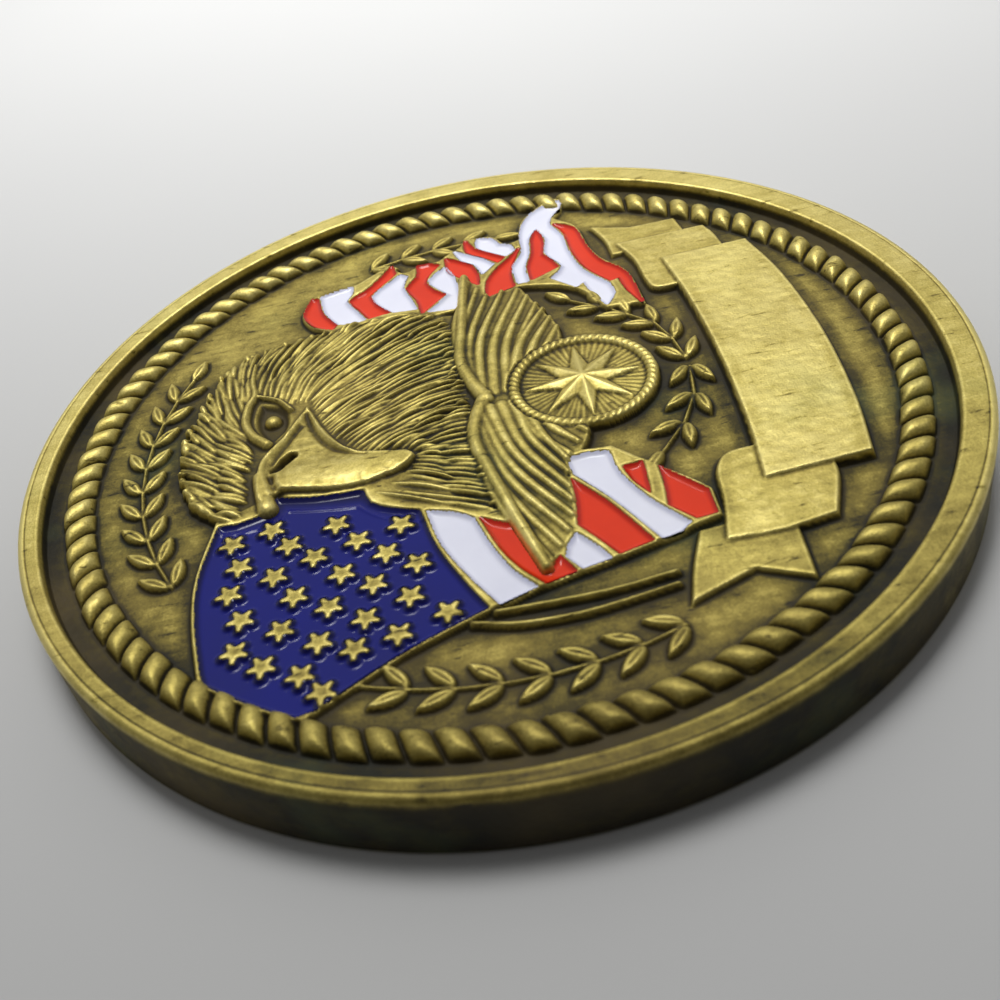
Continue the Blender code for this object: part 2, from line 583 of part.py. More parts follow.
def blank(material):
    """The struck blank: edge, rims and both sunk fields. The recesses are centred on the dies."""
    radius = DIAMETER / 2
    rim_lip = RIM_INNER_RADIUS + RIM_WALL_DRAFT
    profile = [
        (RIM_INNER_RADIUS, REVERSE_FIELD_Z, STRIKE_SHIFT),
        (rim_lip, 0.0, STRIKE_SHIFT),
        (radius - EDGE_CHAMFER, 0.0, (0.0, 0.0)),
        (radius, EDGE_CHAMFER, (0.0, 0.0)),
        (radius, THICKNESS - EDGE_CHAMFER, (0.0, 0.0)),
        (radius - EDGE_CHAMFER, THICKNESS, (0.0, 0.0)),
        (rim_lip, THICKNESS, STRIKE_SHIFT),
        (RIM_INNER_RADIUS, FIELD_Z, STRIKE_SHIFT),
    ]
    turns = [2 * math.pi * i / BLANK_SEGMENTS for i in range(BLANK_SEGMENTS)]
    rings = []
    for r, z, (cx, cy) in profile:
        rings.append([(cx + r * math.cos(a), cy + r * math.sin(a), z) for a in turns])
    bm = bmesh.new()
    add_rings(bm, rings)
    return object_from("struck_coin", bm, material)


def rope(name, root_z, groove_z, crest_z):
    """A twisted-rope border as one roof-shaped ring: crests and grooves alternate, and each strand leans."""
    cx, cy = STRIKE_SHIFT
    inner, outer = ROPE_RADIUS - ROPE_WIDTH / 2, ROPE_RADIUS + ROPE_WIDTH / 2
    columns = 2 * ROPE_STRANDS
    bm = bmesh.new()
    made = []
    for i in range(columns):
        top = crest_z if i % 2 else groove_z
        section = []
        for radius, z in ((inner, root_z), (ROPE_RADIUS, top), (outer, root_z)):
            lean = math.radians(ROPE_LEAN_DEG) * (radius - ROPE_RADIUS) / ROPE_WIDTH
            angle = 2 * math.pi * i / columns + lean
            x, y = cx + radius * math.cos(angle), cy + radius * math.sin(angle)
            section.append(bm.verts.new(to_metres(x, y, z)))
        made.append(section)
    for i, section in enumerate(made):
        following = made[(i + 1) % columns]
        for k in range(len(section)):
            j = (k + 1) % len(section)
            bm.faces.new((section[k], section[j], following[j], following[k]))
    return object_from(name, bm)


def flag_relief(root):
    bm = bmesh.new()
    for edges in (LEFT_FLAG, RIGHT_FLAG):
        add_prism(bm, outline(edges), root, FIELD_Z + CELL_WALL_HEIGHT)
    for path in FLAG_POLE:
        add_ridge(bm, along_curve(path, POLE_STEP), POLE_WIDTH, root, FIELD_Z + POLE_HEIGHT)
    return object_from("tool_flag_relief", bm)


def head_relief(root):
    """The eagle's head: a plate with the beak, brow and feathers raised on it."""
    bm = bmesh.new()
    add_bevelled(bm, outline(HEAD), root, FIELD_Z + HEAD_HEIGHT, RELIEF_BEVEL)
    add_ridge(bm, BROW, BROW_WIDTH, root, FIELD_Z + BROW_HEIGHT)
    foot, crest = FIELD_Z + FEATHER_FOOT, FIELD_Z + FEATHER_HEIGHT
    for roots, tips, count in FEATHER_FANS:
        starts, ends = along_curve(roots, FAN_PITCH), along_curve(tips, FAN_PITCH)
        for i in range(count):
            share = (i + 0.5) / count
            start, end = starts[int(share * len(starts))], ends[int(share * len(ends))]
            add_ridge(bm, [start, end], FEATHER_WIDTH, foot, crest)
    return object_from("tool_head_relief", bm)


def beak_relief(root):
    bm = bmesh.new()
    add_bevelled(bm, outline(BEAK), root, FIELD_Z + BEAK_HEIGHT, RELIEF_BEVEL)
    return object_from("tool_beak_relief", bm)


def face_hollows():
    """The eye socket and the nostril, sunk into the head."""
    bm = bmesh.new()
    add_prism(bm, outline(EYE_SOCKET), FIELD_Z + SOCKET_FLOOR, CUTTER_TOP)
    add_prism(bm, NOSTRIL, FIELD_Z + NOSTRIL_FLOOR, CUTTER_TOP)
    return object_from("tool_face_hollows", bm)


def eye(root):
    bm = bmesh.new()
    cx, cy = EYE_CENTRE
    turns = [2 * math.pi * i / EYE_SEGMENTS for i in range(EYE_SEGMENTS)]
    ring = [(cx + EYE_RADIUS * math.cos(a), cy + EYE_RADIUS * math.sin(a)) for a in turns]
    add_bevelled(bm, ring, root, FIELD_Z + EYE_HEIGHT, RELIEF_BEVEL)
    return object_from("tool_eye", bm)


def ribbon_relief(root):
    bm = bmesh.new()
    for edges in RIBBON_TAILS:
        add_prism(bm, outline(edges), root, FIELD_Z + RIBBON_TAIL_HEIGHT)
    for edges in RIBBON_BACKS:
        add_prism(bm, outline(edges), root, FIELD_Z + RIBBON_BACK_HEIGHT)
    add_prism(bm, outline(RIBBON_FRONT), root, FIELD_Z + RIBBON_FRONT_HEIGHT)
    return object_from("tool_ribbon_relief", bm)


def emblem_relief(root):
    """A pair of wings behind an eight-pointed compass star, over two laurel branches."""
    bm = bmesh.new()
    for edges in (LEFT_WING, RIGHT_WING):
        add_prism(bm, outline(edges), root, FIELD_Z + WING_HEIGHT)
    for path in WING_FEATHERS:
        add_ridge(bm, path, WING_FEATHER_WIDTH, root, FIELD_Z + WING_FEATHER_HEIGHT)
    compass = star(COMPASS_CENTRE, COMPASS_RADIUS, COMPASS_WAIST, 8, 90.0)
    add_pyramid(bm, compass, FIELD_Z - SHALLOW_ROOT, COMPASS_CENTRE, FIELD_Z + COMPASS_HEIGHT)
    for branch in WREATH_BRANCHES:
        add_laurel(bm, along_curve(branch, LAUREL_PITCH), FIELD_Z - SHALLOW_ROOT, FIELD_Z + WREATH_HEIGHT)
    return object_from("tool_emblem_relief", bm)


def laurel_relief():
    bm = bmesh.new()
    for radius, first, last in LAUREL_ARCS:
        path = arc_path(radius, first, last, LAUREL_PITCH)
        add_laurel(bm, path, FIELD_Z - SHALLOW_ROOT, FIELD_Z + ORNAMENT_HEIGHT)
    return object_from("tool_laurel_relief", bm)


def reverse_relief():
    """The device of the reverse. It hangs down from the sunk field, so its heights count downwards."""
    bm = bmesh.new()
    base = REVERSE_FIELD_Z + SHALLOW_ROOT
    points = star(STRIKE_SHIFT, REVERSE_STAR_RADIUS, REVERSE_STAR_WAIST, 8, 90.0)
    add_pyramid(bm, points, base, STRIKE_SHIFT, REVERSE_FIELD_Z - REVERSE_STAR_HEIGHT)
    for first, last in REVERSE_LAUREL_ARCS:
        path = arc_path(REVERSE_LAUREL_RADIUS, first, last, REVERSE_LAUREL_PITCH)
        add_laurel(bm, path, base, REVERSE_FIELD_Z - REVERSE_LEAF_HEIGHT, REVERSE_LEAF_LENGTH)
    return object_from("tool_reverse_relief", bm)


def cell_rings():
    """Every enamel cell's ring by its piece's name."""
    rings = {"enamel_blue_canton": outline(CANTON)}
    for name, edges in STRIPES.items():
        rings[name] = outline(edges)
    return rings


def star_rings(grow=0.0):
    found = [star(centre, STAR_RADIUS, STAR_WAIST, 5, STAR_TURN_DEG) for centre in STAR_CENTRES]
    return [grown(ring, grow) for ring in found] if grow else found


def cell_pockets(rings):
    bm = bmesh.new()
    for ring in rings.values():
        add_prism(bm, ring, FIELD_Z - CELL_FLOOR, CUTTER_TOP)
    return object_from("tool_cell_pockets", bm)


def star_posts(root):
    bm = bmesh.new()
    for ring in star_rings():
        add_prism(bm, ring, root, FIELD_Z + CELL_WALL_HEIGHT)
    return object_from("tool_star_posts", bm)


def enamel_pool(name, ring, material):
    bm = bmesh.new()
    add_prism(bm, grown(ring, -ENAMEL_GAP), FIELD_Z - CELL_FLOOR + ENAMEL_GAP, FIELD_Z + ENAMEL_HEIGHT)
    return object_from(name, bm, material)


def star_holes():
    bm = bmesh.new()
    for ring in star_rings(ENAMEL_GAP):
        add_prism(bm, ring, FIELD_Z - ROOT_DEPTH, CUTTER_TOP)
    return object_from("tool_star_holes", bm)


def boolean(target, tool, operation):
    made = target.modifiers.new(tool.name, "BOOLEAN")
    made.object = tool
    made.operation = operation
    made.solver = "EXACT"
    made.use_self = operation == "UNION"


def build_struck_coin(rings):
    """The blank with every raised shape joined, the cells sunk through them, and the stars in the cells."""
    coin = blank(principled("antique_brass", (0.48, 0.37, 0.16), 0.36, 1.0))
    root = FIELD_Z - ROOT_DEPTH
    crest = THICKNESS - ROPE_BELOW_RIM
    obverse_rope = rope("tool_obverse_rope", FIELD_Z - SHALLOW_ROOT, crest - ROPE_GROOVE, crest)
    reverse_root = REVERSE_FIELD_Z + SHALLOW_ROOT
    reverse_groove = ROPE_BELOW_RIM + REVERSE_ROPE_GROOVE
    reverse_rope = rope("tool_reverse_rope", reverse_root, reverse_groove, ROPE_BELOW_RIM)
    boolean(coin, flag_relief(root), "UNION")
    boolean(coin, ribbon_relief(root - ROOT_STEP), "UNION")
    boolean(coin, laurel_relief(), "UNION")
    boolean(coin, head_relief(root - 3 * ROOT_STEP), "UNION")
    boolean(coin, emblem_relief(root - 4 * ROOT_STEP), "UNION")
    boolean(coin, beak_relief(root - 5 * ROOT_STEP), "UNION")
    boolean(coin, face_hollows(), "DIFFERENCE")
    boolean(coin, eye(root - 6 * ROOT_STEP), "UNION")
    boolean(coin, obverse_rope, "UNION")
    boolean(coin, cell_pockets(rings), "DIFFERENCE")
    boolean(coin, star_posts(root - 7 * ROOT_STEP), "UNION")
    boolean(coin, reverse_relief(), "UNION")
    boolean(coin, reverse_rope, "UNION")
    return coin


def build_enamels(rings):
    finishes = {
        "blue": principled("enamel_blue", (0.018, 0.014, 0.19), 0.12),
        "white": principled("enamel_white", (0.78, 0.78, 0.86), 0.15),
        "red": principled("enamel_red", (0.72, 0.03, 0.015), 0.12),
    }
    for name, ring in rings.items():
        pool = enamel_pool(name, ring, finishes[name.split("_")[1]])
        if name == "enamel_blue_canton":
            boolean(pool, star_holes(), "DIFFERENCE")


def main():
    for obj in list(bpy.data.objects):
        bpy.data.objects.remove(obj, do_unlink=True)
    rings = cell_rings()
    build_struck_coin(rings)
    build_enamels(rings)


main()
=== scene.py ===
"""The look of a struck brass challenge coin with soft-enamel cells.

Each face of the coin is one height field: every raised or sunk shape is a function of distance to its outline, and the
surface is meshed on a fine grid. Sizes are in millimetres, in the frame's axes, and add_piece turns them into metres.
"""

import math

import bpy
import numpy as np
from mathutils import Matrix, Vector


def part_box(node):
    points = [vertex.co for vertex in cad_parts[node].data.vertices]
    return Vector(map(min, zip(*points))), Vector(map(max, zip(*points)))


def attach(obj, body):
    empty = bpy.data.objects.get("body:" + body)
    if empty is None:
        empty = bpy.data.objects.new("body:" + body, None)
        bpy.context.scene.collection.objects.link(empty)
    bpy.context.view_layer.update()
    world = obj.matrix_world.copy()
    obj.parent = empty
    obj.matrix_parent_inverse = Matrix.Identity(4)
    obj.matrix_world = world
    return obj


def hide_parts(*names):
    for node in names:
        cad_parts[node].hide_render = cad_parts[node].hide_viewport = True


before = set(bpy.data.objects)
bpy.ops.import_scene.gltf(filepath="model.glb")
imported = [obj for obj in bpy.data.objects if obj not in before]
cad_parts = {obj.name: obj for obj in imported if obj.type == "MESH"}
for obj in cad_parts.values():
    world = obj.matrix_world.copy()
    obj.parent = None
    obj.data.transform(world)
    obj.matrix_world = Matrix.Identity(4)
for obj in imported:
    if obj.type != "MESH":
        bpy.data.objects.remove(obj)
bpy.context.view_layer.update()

MM = 0.001


def box_mm(node):
    low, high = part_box(node)
    return np.array(low) / MM, np.array(high) / MM


coin_low, coin_high = box_mm("struck_coin")

# Driving dimensions
RADIUS = (coin_high[0] - coin_low[0]) / 2
THICKNESS = coin_high[2]
DIES_CENTRE = (-0.3, 0.3)
FIELD_Z = THICKNESS - 0.85
REVERSE_FIELD_Z = 0.6
RIM_INNER = 23.85
RIM_LIP = 23.97
CELL_FLOOR_Z = FIELD_Z - 0.02
WALL_HEIGHT = 0.45
WALL_SLOPE = 0.16
CELL_GROWTH = {"left": 0.05, "right": 0.16, "canton": 0.02}  # how far a cell reaches past the frame's enamel
ENAMEL_Z = FIELD_Z + WALL_HEIGHT - 0.21
MENISCUS_HEIGHT = 0.18
MENISCUS_REACH = 0.34
POOL_REACH = 1.05  # how far the canton's enamel lies in a pool of its own round the beak and the neck, where it carries painted shade
POOL_LIP = 0.065
EDGE_ROUNDING = 0.3
PAINTED_SHADE_SHARE = 0.155  # of the coin's edge, to each side of where it is darkest: the painted shade on the side facing the camera
REVERSE_ROUNDING = 0.25
CAST_GRAIN = [(0.9, 0.009), (0.34, 0.009)]  # how far apart the struck metal's small bumps are, and how high they are
RIM_COVER = 0.01  # how far the highest relief stays below the rim, which protects it
RELIEF_EASE = 0.06  # relief that comes this close to that height is rounded off towards it

# Meshing
STEP = 0.06
REVERSE_STEP = 0.12
COLUMNS = 2160
ROW_STEP = 0.05
NEAR_REACH = 0.2  # the surroundings that a point's relief is measured against
WIDE_REACH = 1.1
RUGGED_REACH = 0.7
DISC = 21.1  # inside this radius about the dies' centre the faces are meshed on a square grid, outside on a polar one

SEED = 7

STAR_CENTRES = [
    (-14.55, 13.45), (-12.59, 13.21), (-10.76, 13.83), (-8.97, 13.38), (-7.24, 13.79), (-15.76, 12.17),
    (-13.76, 11.34), (-11.79, 10.69), (-10.17, 11.66), (-8.17, 10.93), (-6.79, 11.79), (-16.72, 10.45),
    (-15.0, 9.59), (-12.93, 9.07), (-10.93, 8.41), (-9.38, 9.69), (-7.38, 8.55), (-17.93, 9.52),
    (-15.83, 8.0), (-14.14, 7.41), (-12.07, 6.93), (-10.17, 6.21), (-8.86, 7.55), (-15.52, 6.0),
    (-13.34, 5.31), (-11.28, 4.79), (-8.34, 5.38), (-14.79, 3.69),
]
STAR_ARM = 0.58  # from a star's centre to the middle of an arm's rounded tip
STAR_HUB_RADIUS = 0.25
STAR_TIP_RADIUS = 0.125
STAR_TURN_DEG = 100.0
STAR_SLOPE = 0.14

# Each outline is a ring of edges. An edge is a list of points: two for a straight edge, more for a smooth curve through
# them. A bare number stands for an arc of that radius about the dies' centre.
LEFT_FLAG = [
    [(-16.0, 15.2), (-12.0, 15.72), (-9.0, 15.68), (-5.2, 14.85)],
    [(-5.2, 14.85), (-3.6, 10.0), (-4.4, 4.2)],
    [(-4.4, 4.2), (-8.6, 0.9), (-7.4, -3.0)],
    [(-7.4, -3.0), (-5.6, -3.0), (-5.7, -5.6)],
    [(-5.7, -5.6), (-7.2, -6.9)],
    [(-7.2, -6.9), (-9.2, -8.65), (-10.4, -9.55)],
    [(-10.4, -9.55), (-12.45, -9.55)],
    [(-12.45, -9.55), (-13.6, -5.0), (-14.7, -0.2), (-15.35, 1.9)],
    [(-15.35, 1.9), (-16.9, 6.0), (-19.1, 10.0)],
    21.65,
]
RIGHT_FLAG = [
    [(9.6, 8.1), (11.0, 9.5), (12.8, 10.2), (14.7, 9.6)],
    [(14.7, 9.6), (14.85, 8.2), (15.2, 6.6)],
    [(15.2, 6.6), (16.8, 4.3)],
    [(16.8, 4.3), (15.4, 3.5), (16.0, 2.4)],
    [(16.0, 2.4), (15.9, 1.3), (16.3, 0.9)],
    [(16.3, 0.9), (17.0, -0.1), (17.95, -0.65)],
    [(17.95, -0.65), (17.5, -2.5), (16.3, -3.2), (16.4, -4.0)],
    [(16.4, -4.0), (18.6, -4.4), (20.2, -5.9), (20.75, -7.1)],
    [(20.75, -7.1), (20.2, -7.7), (18.2, -6.7)],
    [(18.2, -6.7), (16.5, -7.9), (14.0, -8.2), (12.0, -8.75), (9.9, -9.9), (6.1, -10.15)],
    [(6.1, -10.15), (6.4, -7.7)],
    [(6.4, -7.7), (9.3, -6.2), (10.6, -3.0), (9.6, -1.0)],
    [(9.6, -1.0), (9.4, 3.0), (10.2, 5.8), (9.6, 8.1)],
]
FLAG_POLE = [
    [(-15.75, 2.7), (-16.35, 0.5), (-16.45, -2.6), (-15.95, -6.5)],
    [(-15.35, 1.6), (-15.45, -0.8), (-15.5, -3.5), (-15.2, -6.6)],
]
HEAD = [
    [
        (-5.3, 13.2), (-5.1, 14.2), (-4.0, 15.4), (-2.2, 16.4), (0.4, 16.6), (3.4, 15.9), (6.2, 14.9),
        (8.4, 13.6), (9.5, 11.6), (10.1, 9.0), (10.45, 6.0), (10.2, 3.2), (9.4, 0.3),
    ],
    [(9.4, 0.3), (-9.0, 0.2)],
    [(-9.0, 0.2), (-8.5, 1.8), (-7.5, 3.6), (-6.6, 5.6), (-5.2, 6.95)],
    [(-5.2, 6.95), (-4.9, 8.8), (-4.15, 11.4)],
    [(-4.15, 11.4), (-5.05, 12.1), (-5.3, 13.2)],
]
BEAK = [
    [(-5.3, 12.15), (-4.6, 12.7), (-3.0, 12.8), (-1.2, 12.5), (0.4, 11.4), (3.0, 9.85)],
    [(3.0, 9.85), (0.4, 8.9), (-1.6, 7.7), (-2.4, 6.4), (-2.9, 4.5)],
    [(-2.9, 4.5), (-3.6, 4.1), (-4.5, 5.0), (-5.0, 6.8)],
    [(-5.0, 6.8), (-4.9, 8.8), (-4.25, 11.3)],
    [(-4.25, 11.3), (-4.5, 11.7), (-5.3, 12.15)],
]
BEAK_CREST = [(-3.4, 11.9), (-3.35, 9.6), (-3.35, 7.4), (-3.4, 5.6), (-3.45, 4.6)]
CERE = [(-5.1, 12.2), (-4.3, 12.45), (-3.0, 12.55), (-1.5, 12.3), (-0.4, 11.7), (1.0, 10.85), (3.3, 9.75)]
CERE_GROOVE = [(-3.3, 11.85), (-2.6, 11.95), (-1.3, 11.6), (-0.1, 10.95), (1.2, 10.25)]
LIP_GROOVE = [(2.2, 9.95), (0.5, 9.6), (-1.2, 8.8), (-2.1, 7.8), (-2.6, 6.8)]
LIP = [(4.6, 9.3), (3.2, 9.75), (0.6, 9.05), (-1.4, 8.05), (-2.2, 7.0), (-2.6, 5.6)]
BEAK_HOOK = [(-2.6, 12.55), (-3.6, 12.4), (-4.6, 12.15), (-5.1, 12.05)]
HOOK_CREASE = [(-3.0, 11.85), (-3.8, 11.7), (-4.5, 11.4)]
NOSTRIL = [(-2.3, 11.6), (-1.75, 11.15), (-1.35, 10.75)]
EYE_CENTRE = (2.35, 11.85)
EYE_RADIUS = 0.5
EYE_SOCKET = [
    [(0.2, 11.85), (1.3, 12.6), (2.7, 12.9), (4.3, 12.6)],
    [(4.3, 12.6), (3.6, 11.4), (2.6, 10.85), (1.3, 10.95), (0.2, 11.85)],
]
BROW = [(0.1, 12.1), (1.1, 12.9), (2.4, 13.35), (3.9, 13.2), (4.8, 12.85), (6.2, 13.0), (7.8, 12.85)]
LID = [(4.75, 12.75), (4.4, 12.1), (3.85, 11.4), (2.9, 10.8)]

# The feathers follow guides: a lock lies between two neighbours, part of the way along them
HEAD_GUIDES = [
    [(-5.5, 13.6), (-4.9, 14.9), (-3.4, 16.2)],
    [(-4.4, 13.3), (-3.6, 14.6), (-1.7, 16.8)],
    [(-3.2, 13.1), (-2.2, 14.5), (-0.1, 17.0)],
    [(-1.9, 13.1), (-0.7, 14.6), (1.7, 17.0)],
    [(-0.7, 13.0), (1.1, 14.7), (3.7, 16.6)],
    [(0.6, 13.1), (2.6, 14.6), (5.8, 15.8)],
    [(2.2, 13.7), (4.4, 14.3), (8.0, 14.9)],
    [(4.3, 13.3), (6.6, 13.6), (9.4, 13.5)],
    [(4.6, 12.8), (7.4, 12.5), (10.0, 11.0)],
    [(4.2, 12.0), (7.0, 11.1), (10.4, 8.9)],
    [(3.6, 11.2), (6.8, 10.0), (10.6, 6.6)],
    [(3.6, 10.3), (6.0, 8.9), (9.6, 5.0), (10.2, 3.0)],
    [(3.4, 9.6), (5.2, 7.6), (7.4, 4.4), (9.0, 1.2)],
    [(2.2, 9.4), (4.0, 7.0), (5.8, 3.8), (6.8, 1.1)],
    [(1.0, 9.0), (2.6, 6.6), (4.0, 3.8), (4.8, 1.1)],
    [(-0.3, 8.5), (1.0, 6.2), (2.2, 3.8), (2.9, 1.0)],
    [(-1.6, 7.6), (-0.4, 5.6), (0.6, 3.4), (1.0, 1.0)],
    [(-2.3, 6.4), (-1.4, 4.8), (-0.7, 2.6), (-0.6, 0.9)],
    [(-2.7, 4.6), (-2.1, 3.4), (-1.8, 0.9)],
]
NECK_GUIDES = [
    [(-2.7, 4.5), (-2.2, 3.2), (-1.9, 0.9)],
    [(-3.0, 4.1), (-3.1, 2.8), (-3.3, 0.9)],
    [(-4.2, 4.5), (-5.2, 2.9), (-6.3, 0.8)],
    [(-5.2, 5.6), (-6.4, 3.4), (-7.9, 0.5)],
    [(-5.9, 6.8), (-7.4, 4.2), (-9.3, 0.5)],
]

RIBBON_FRONT = [
    [(-10.75, -11.8), (-6.0, -12.25), (0.0, -12.45), (6.0, -12.25), (10.45, -11.8)],
    [(10.45, -11.8), (10.55, -17.2)],
    [(10.55, -17.2), (6.0, -18.05), (0.0, -18.35), (-6.0, -18.0), (-10.45, -17.3)],
    [(-10.45, -17.3), (-10.75, -11.8)],
]
RIBBON_BACKS = [
    [
        [(-14.1, -9.05), (-11.5, -9.6), (-9.2, -9.9), (-8.1, -10.8), (-8.0, -12.8)],
        [(-8.0, -12.8), (-10.0, -15.35)],
        [(-10.0, -15.35), (-11.2, -15.35), (-13.85, -14.4)],
        [(-13.85, -14.4), (-14.2, -11.8), (-14.1, -9.05)],
    ],
    [
        [(7.3, -12.8), (7.4, -10.9), (8.6, -10.45), (11.0, -10.3), (13.35, -9.6)],
        [(13.35, -9.6), (13.4, -15.3)],
        [(13.4, -15.3), (12.0, -15.7), (9.8, -15.9)],
        [(9.8, -15.9), (7.3, -12.8)],
    ],
]
RIBBON_TAILS = [
    [
        [(-17.3, -6.65), (-15.3, -7.2), (-12.9, -8.1)],
        [(-12.9, -8.1), (-12.6, -12.6)],
        [(-12.6, -12.6), (-17.3, -12.3)],
        [(-17.3, -12.3), (-16.05, -9.9)],
        [(-16.05, -9.9), (-17.3, -6.65)],
    ],
    [
        [(12.2, -9.2), (14.2, -9.1), (16.3, -8.5)],
        [(16.3, -8.5), (15.2, -11.0)],
        [(15.2, -11.0), (15.2, -13.9)],
        [(15.2, -13.9), (12.2, -14.3)],
        [(12.2, -14.3), (12.2, -9.2)],
    ],
]

LEFT_WING = [
    [(0.4, 0.1), (-1.4, 0.8), (-3.4, 1.1), (-6.0, 0.65), (-9.6, -0.1), (-13.4, -1.02)],
    [(-13.4, -1.02), (-12.4, -1.95), (-10.6, -2.7), (-8.0, -3.1), (-5.9, -3.3)],
    [(-5.9, -3.3), (-5.7, -4.2), (-4.0, -4.9), (-2.4, -4.4)],
    [(-2.4, -4.4), (0.4, -3.2)],
    [(0.4, -3.2), (0.4, 0.1)],
]
RIGHT_WING = [
    [(0.1, -3.2), (3.0, -4.6), (5.6, -4.9), (7.6, -4.3)],
    [(7.6, -4.3), (9.6, -3.7), (10.8, -3.1), (10.3, -1.15)],
    [(10.3, -1.15), (11.9, -0.95), (12.8, -0.1)],
    [(12.8, -0.1), (10.0, 0.3), (6.6, 0.75), (4.2, 1.05), (2.2, 0.75), (0.1, 0.1)],
    [(0.1, 0.1), (0.1, -3.2)],
]
PATINA = [(HEAD, 0.12), (BEAK, -0.04), (LEFT_WING, 0.1), (RIGHT_WING, 0.13), (LEFT_FLAG, -0.06)]
# Rows of feathers: the curve their roots lie on, the curve their tips lie on, and how many there are
LEFT_FEATHERS = [
    ([(-3.2, 0.95), (-0.9, 0.3), (-0.7, -2.0)], [(-13.1, -1.3), (-10.7, -2.65), (-8.0, -3.0), (-6.2, -3.2)], 8),
    ([(-1.9, -1.4), (-1.6, -3.4)], [(-5.8, -3.4), (-4.4, -4.6)], 3),
]
RIGHT_FEATHERS = [
    ([(3.0, 0.9), (0.8, 0.2), (0.7, -1.9)], [(12.3, -0.3), (10.3, -1.3), (10.5, -2.9), (8.4, -3.9)], 7),
    ([(1.8, -1.6), (1.8, -3.4)], [(7.6, -4.2), (5.6, -4.7)], 3),
]
WING_HEIGHT = WALL_HEIGHT + 0.01  # above the flag's border, which passes under the wing
FEATHER_WIDTH = 0.96
FEATHER_BOW = 0.07
COMPASS_CENTRE = (0.1, -5.2)
COMPASS_RADIUS = 3.3
COMPASS_WAIST = 0.4
MEDALLION_RADIUS = 4.1
MEDALLION_FLUTES = 56
WREATH_BRANCHES = [
    [(-0.4, -10.9), (-3.6, -10.3), (-6.1, -8.6), (-6.9, -7.9)],
    [(0.4, -10.9), (3.8, -10.3), (6.1, -8.4), (8.3, -6.0)],
]
LAUREL_ARCS = [(18.7, 118.0, 62.0), (19.1, 200.0, 157.0), (18.0, 17.0, -9.0)]
LAUREL_PITCH = 2.15
LEAF_LENGTH = 1.9
LEAF_SLENDERNESS = 0.42
LEAF_SPREAD_DEG = 34.0

ROPE_RADIUS = 22.0
ROPE_WIDTH = 1.6
ROPE_STRANDS = 90
ROPE_LEAN_DEG = 2.3
ROPE_HEIGHT = 0.7


# ---------------------------------------------------------------------------------------------------- curves
def curve_points(points, step=0.25):
    """Points about step apart on the Catmull-Rom curve through the given points, ends included."""
    points = np.asarray(points, float)
    if len(points) == 2:
        return points
    knots = np.vstack([2 * points[0] - points[1], points, 2 * points[-1] - points[-2]])
    found = []
    for a, b, c, d in zip(knots, knots[1:], knots[2:], knots[3:]):
        t = np.linspace(0, 1, max(2, round(np.hypot(*(c - b)) / step) + 1))[:-1, None]
        cubic = t * (3 * b - a - 3 * c + d)
        found.append(b + 0.5 * t * ((c - a) + t * ((2 * a - 5 * b + 4 * c - d) + cubic)))
    return np.vstack(found + [points[-1:]])


def arc_points(start, end, radius, step=0.25):
    cx, cy = DIES_CENTRE
    first, last = (math.atan2(p[1] - cy, p[0] - cx) for p in (start, end))
    turns = np.linspace(first, last, max(2, round(abs(last - first) * radius / step)))
    return np.stack([cx + radius * np.cos(turns), cy + radius * np.sin(turns)], 1)


def outline(edges):
    """One closed ring of points from a list of edges."""
    parts = []
    for i, edge in enumerate(edges):
        if isinstance(edge, float):
            parts.append(arc_points(edges[i - 1][-1], edges[(i + 1) % len(edges)][0], edge)[:-1])
        else:
            parts.append(curve_points(edge)[:-1])
    return np.vstack(parts)


def star_ring(centre, radius, waist, points, turn_deg):
    i = np.arange(2 * points)
    angle = math.radians(turn_deg) + math.pi * i / points
    reach = np.where(i % 2 == 0, radius, radius * waist)
    return np.stack([centre[0] + reach * np.cos(angle), centre[1] + reach * np.sin(angle)], 1)


def resampled(points, count):
    """count points evenly spaced along the smooth curve through the given points."""
    fine = curve_points(points, 0.05)
    along = np.concatenate([[0], np.cumsum(np.hypot(*np.diff(fine, axis=0).T))])
    wanted = np.linspace(0, along[-1], count)
    return np.stack([np.interp(wanted, along, fine[:, k]) for k in (0, 1)], 1)


def path_length(points):
    return float(np.hypot(*np.diff(curve_points(points, 0.05), axis=0).T).sum())


def arc_path(radius, first_deg, last_deg, pitch):
    cx, cy = DIES_CENTRE
    count = round(abs(math.radians(last_deg - first_deg)) * radius / pitch)
    a = np.radians(np.linspace(first_deg, last_deg, count + 1))
    return np.stack([cx + radius * np.cos(a), cy + radius * np.sin(a)], 1)


# ------------------------------------------------------------------------------------------- height fields
def smooth(t):
    """0 below 0, 1 above 1, and a smooth step between."""
    t = np.clip(t, 0, 1)
    return t * t * (3 - 2 * t)


def path_distance(x, y, path):
    """Distance to a polyline, and how far along it the nearest point lies, from 0 to 1."""
    best = np.full(x.shape, np.inf)
    along = np.zeros(x.shape)
    lengths = np.hypot(*np.diff(path, axis=0).T)
    starts = np.concatenate([[0], np.cumsum(lengths)])
    for a, b, start, length in zip(path, path[1:], starts, lengths):
        d = b - a
        t = np.clip(((x - a[0]) * d[0] + (y - a[1]) * d[1]) / max(length**2, 1e-12), 0, 1)
        far = np.hypot(x - a[0] - t * d[0], y - a[1] - t * d[1])
        nearer = far < best
        best[nearer] = far[nearer]
        along[nearer] = (start + t * length)[nearer]
    return best, along / max(starts[-1], 1e-12)


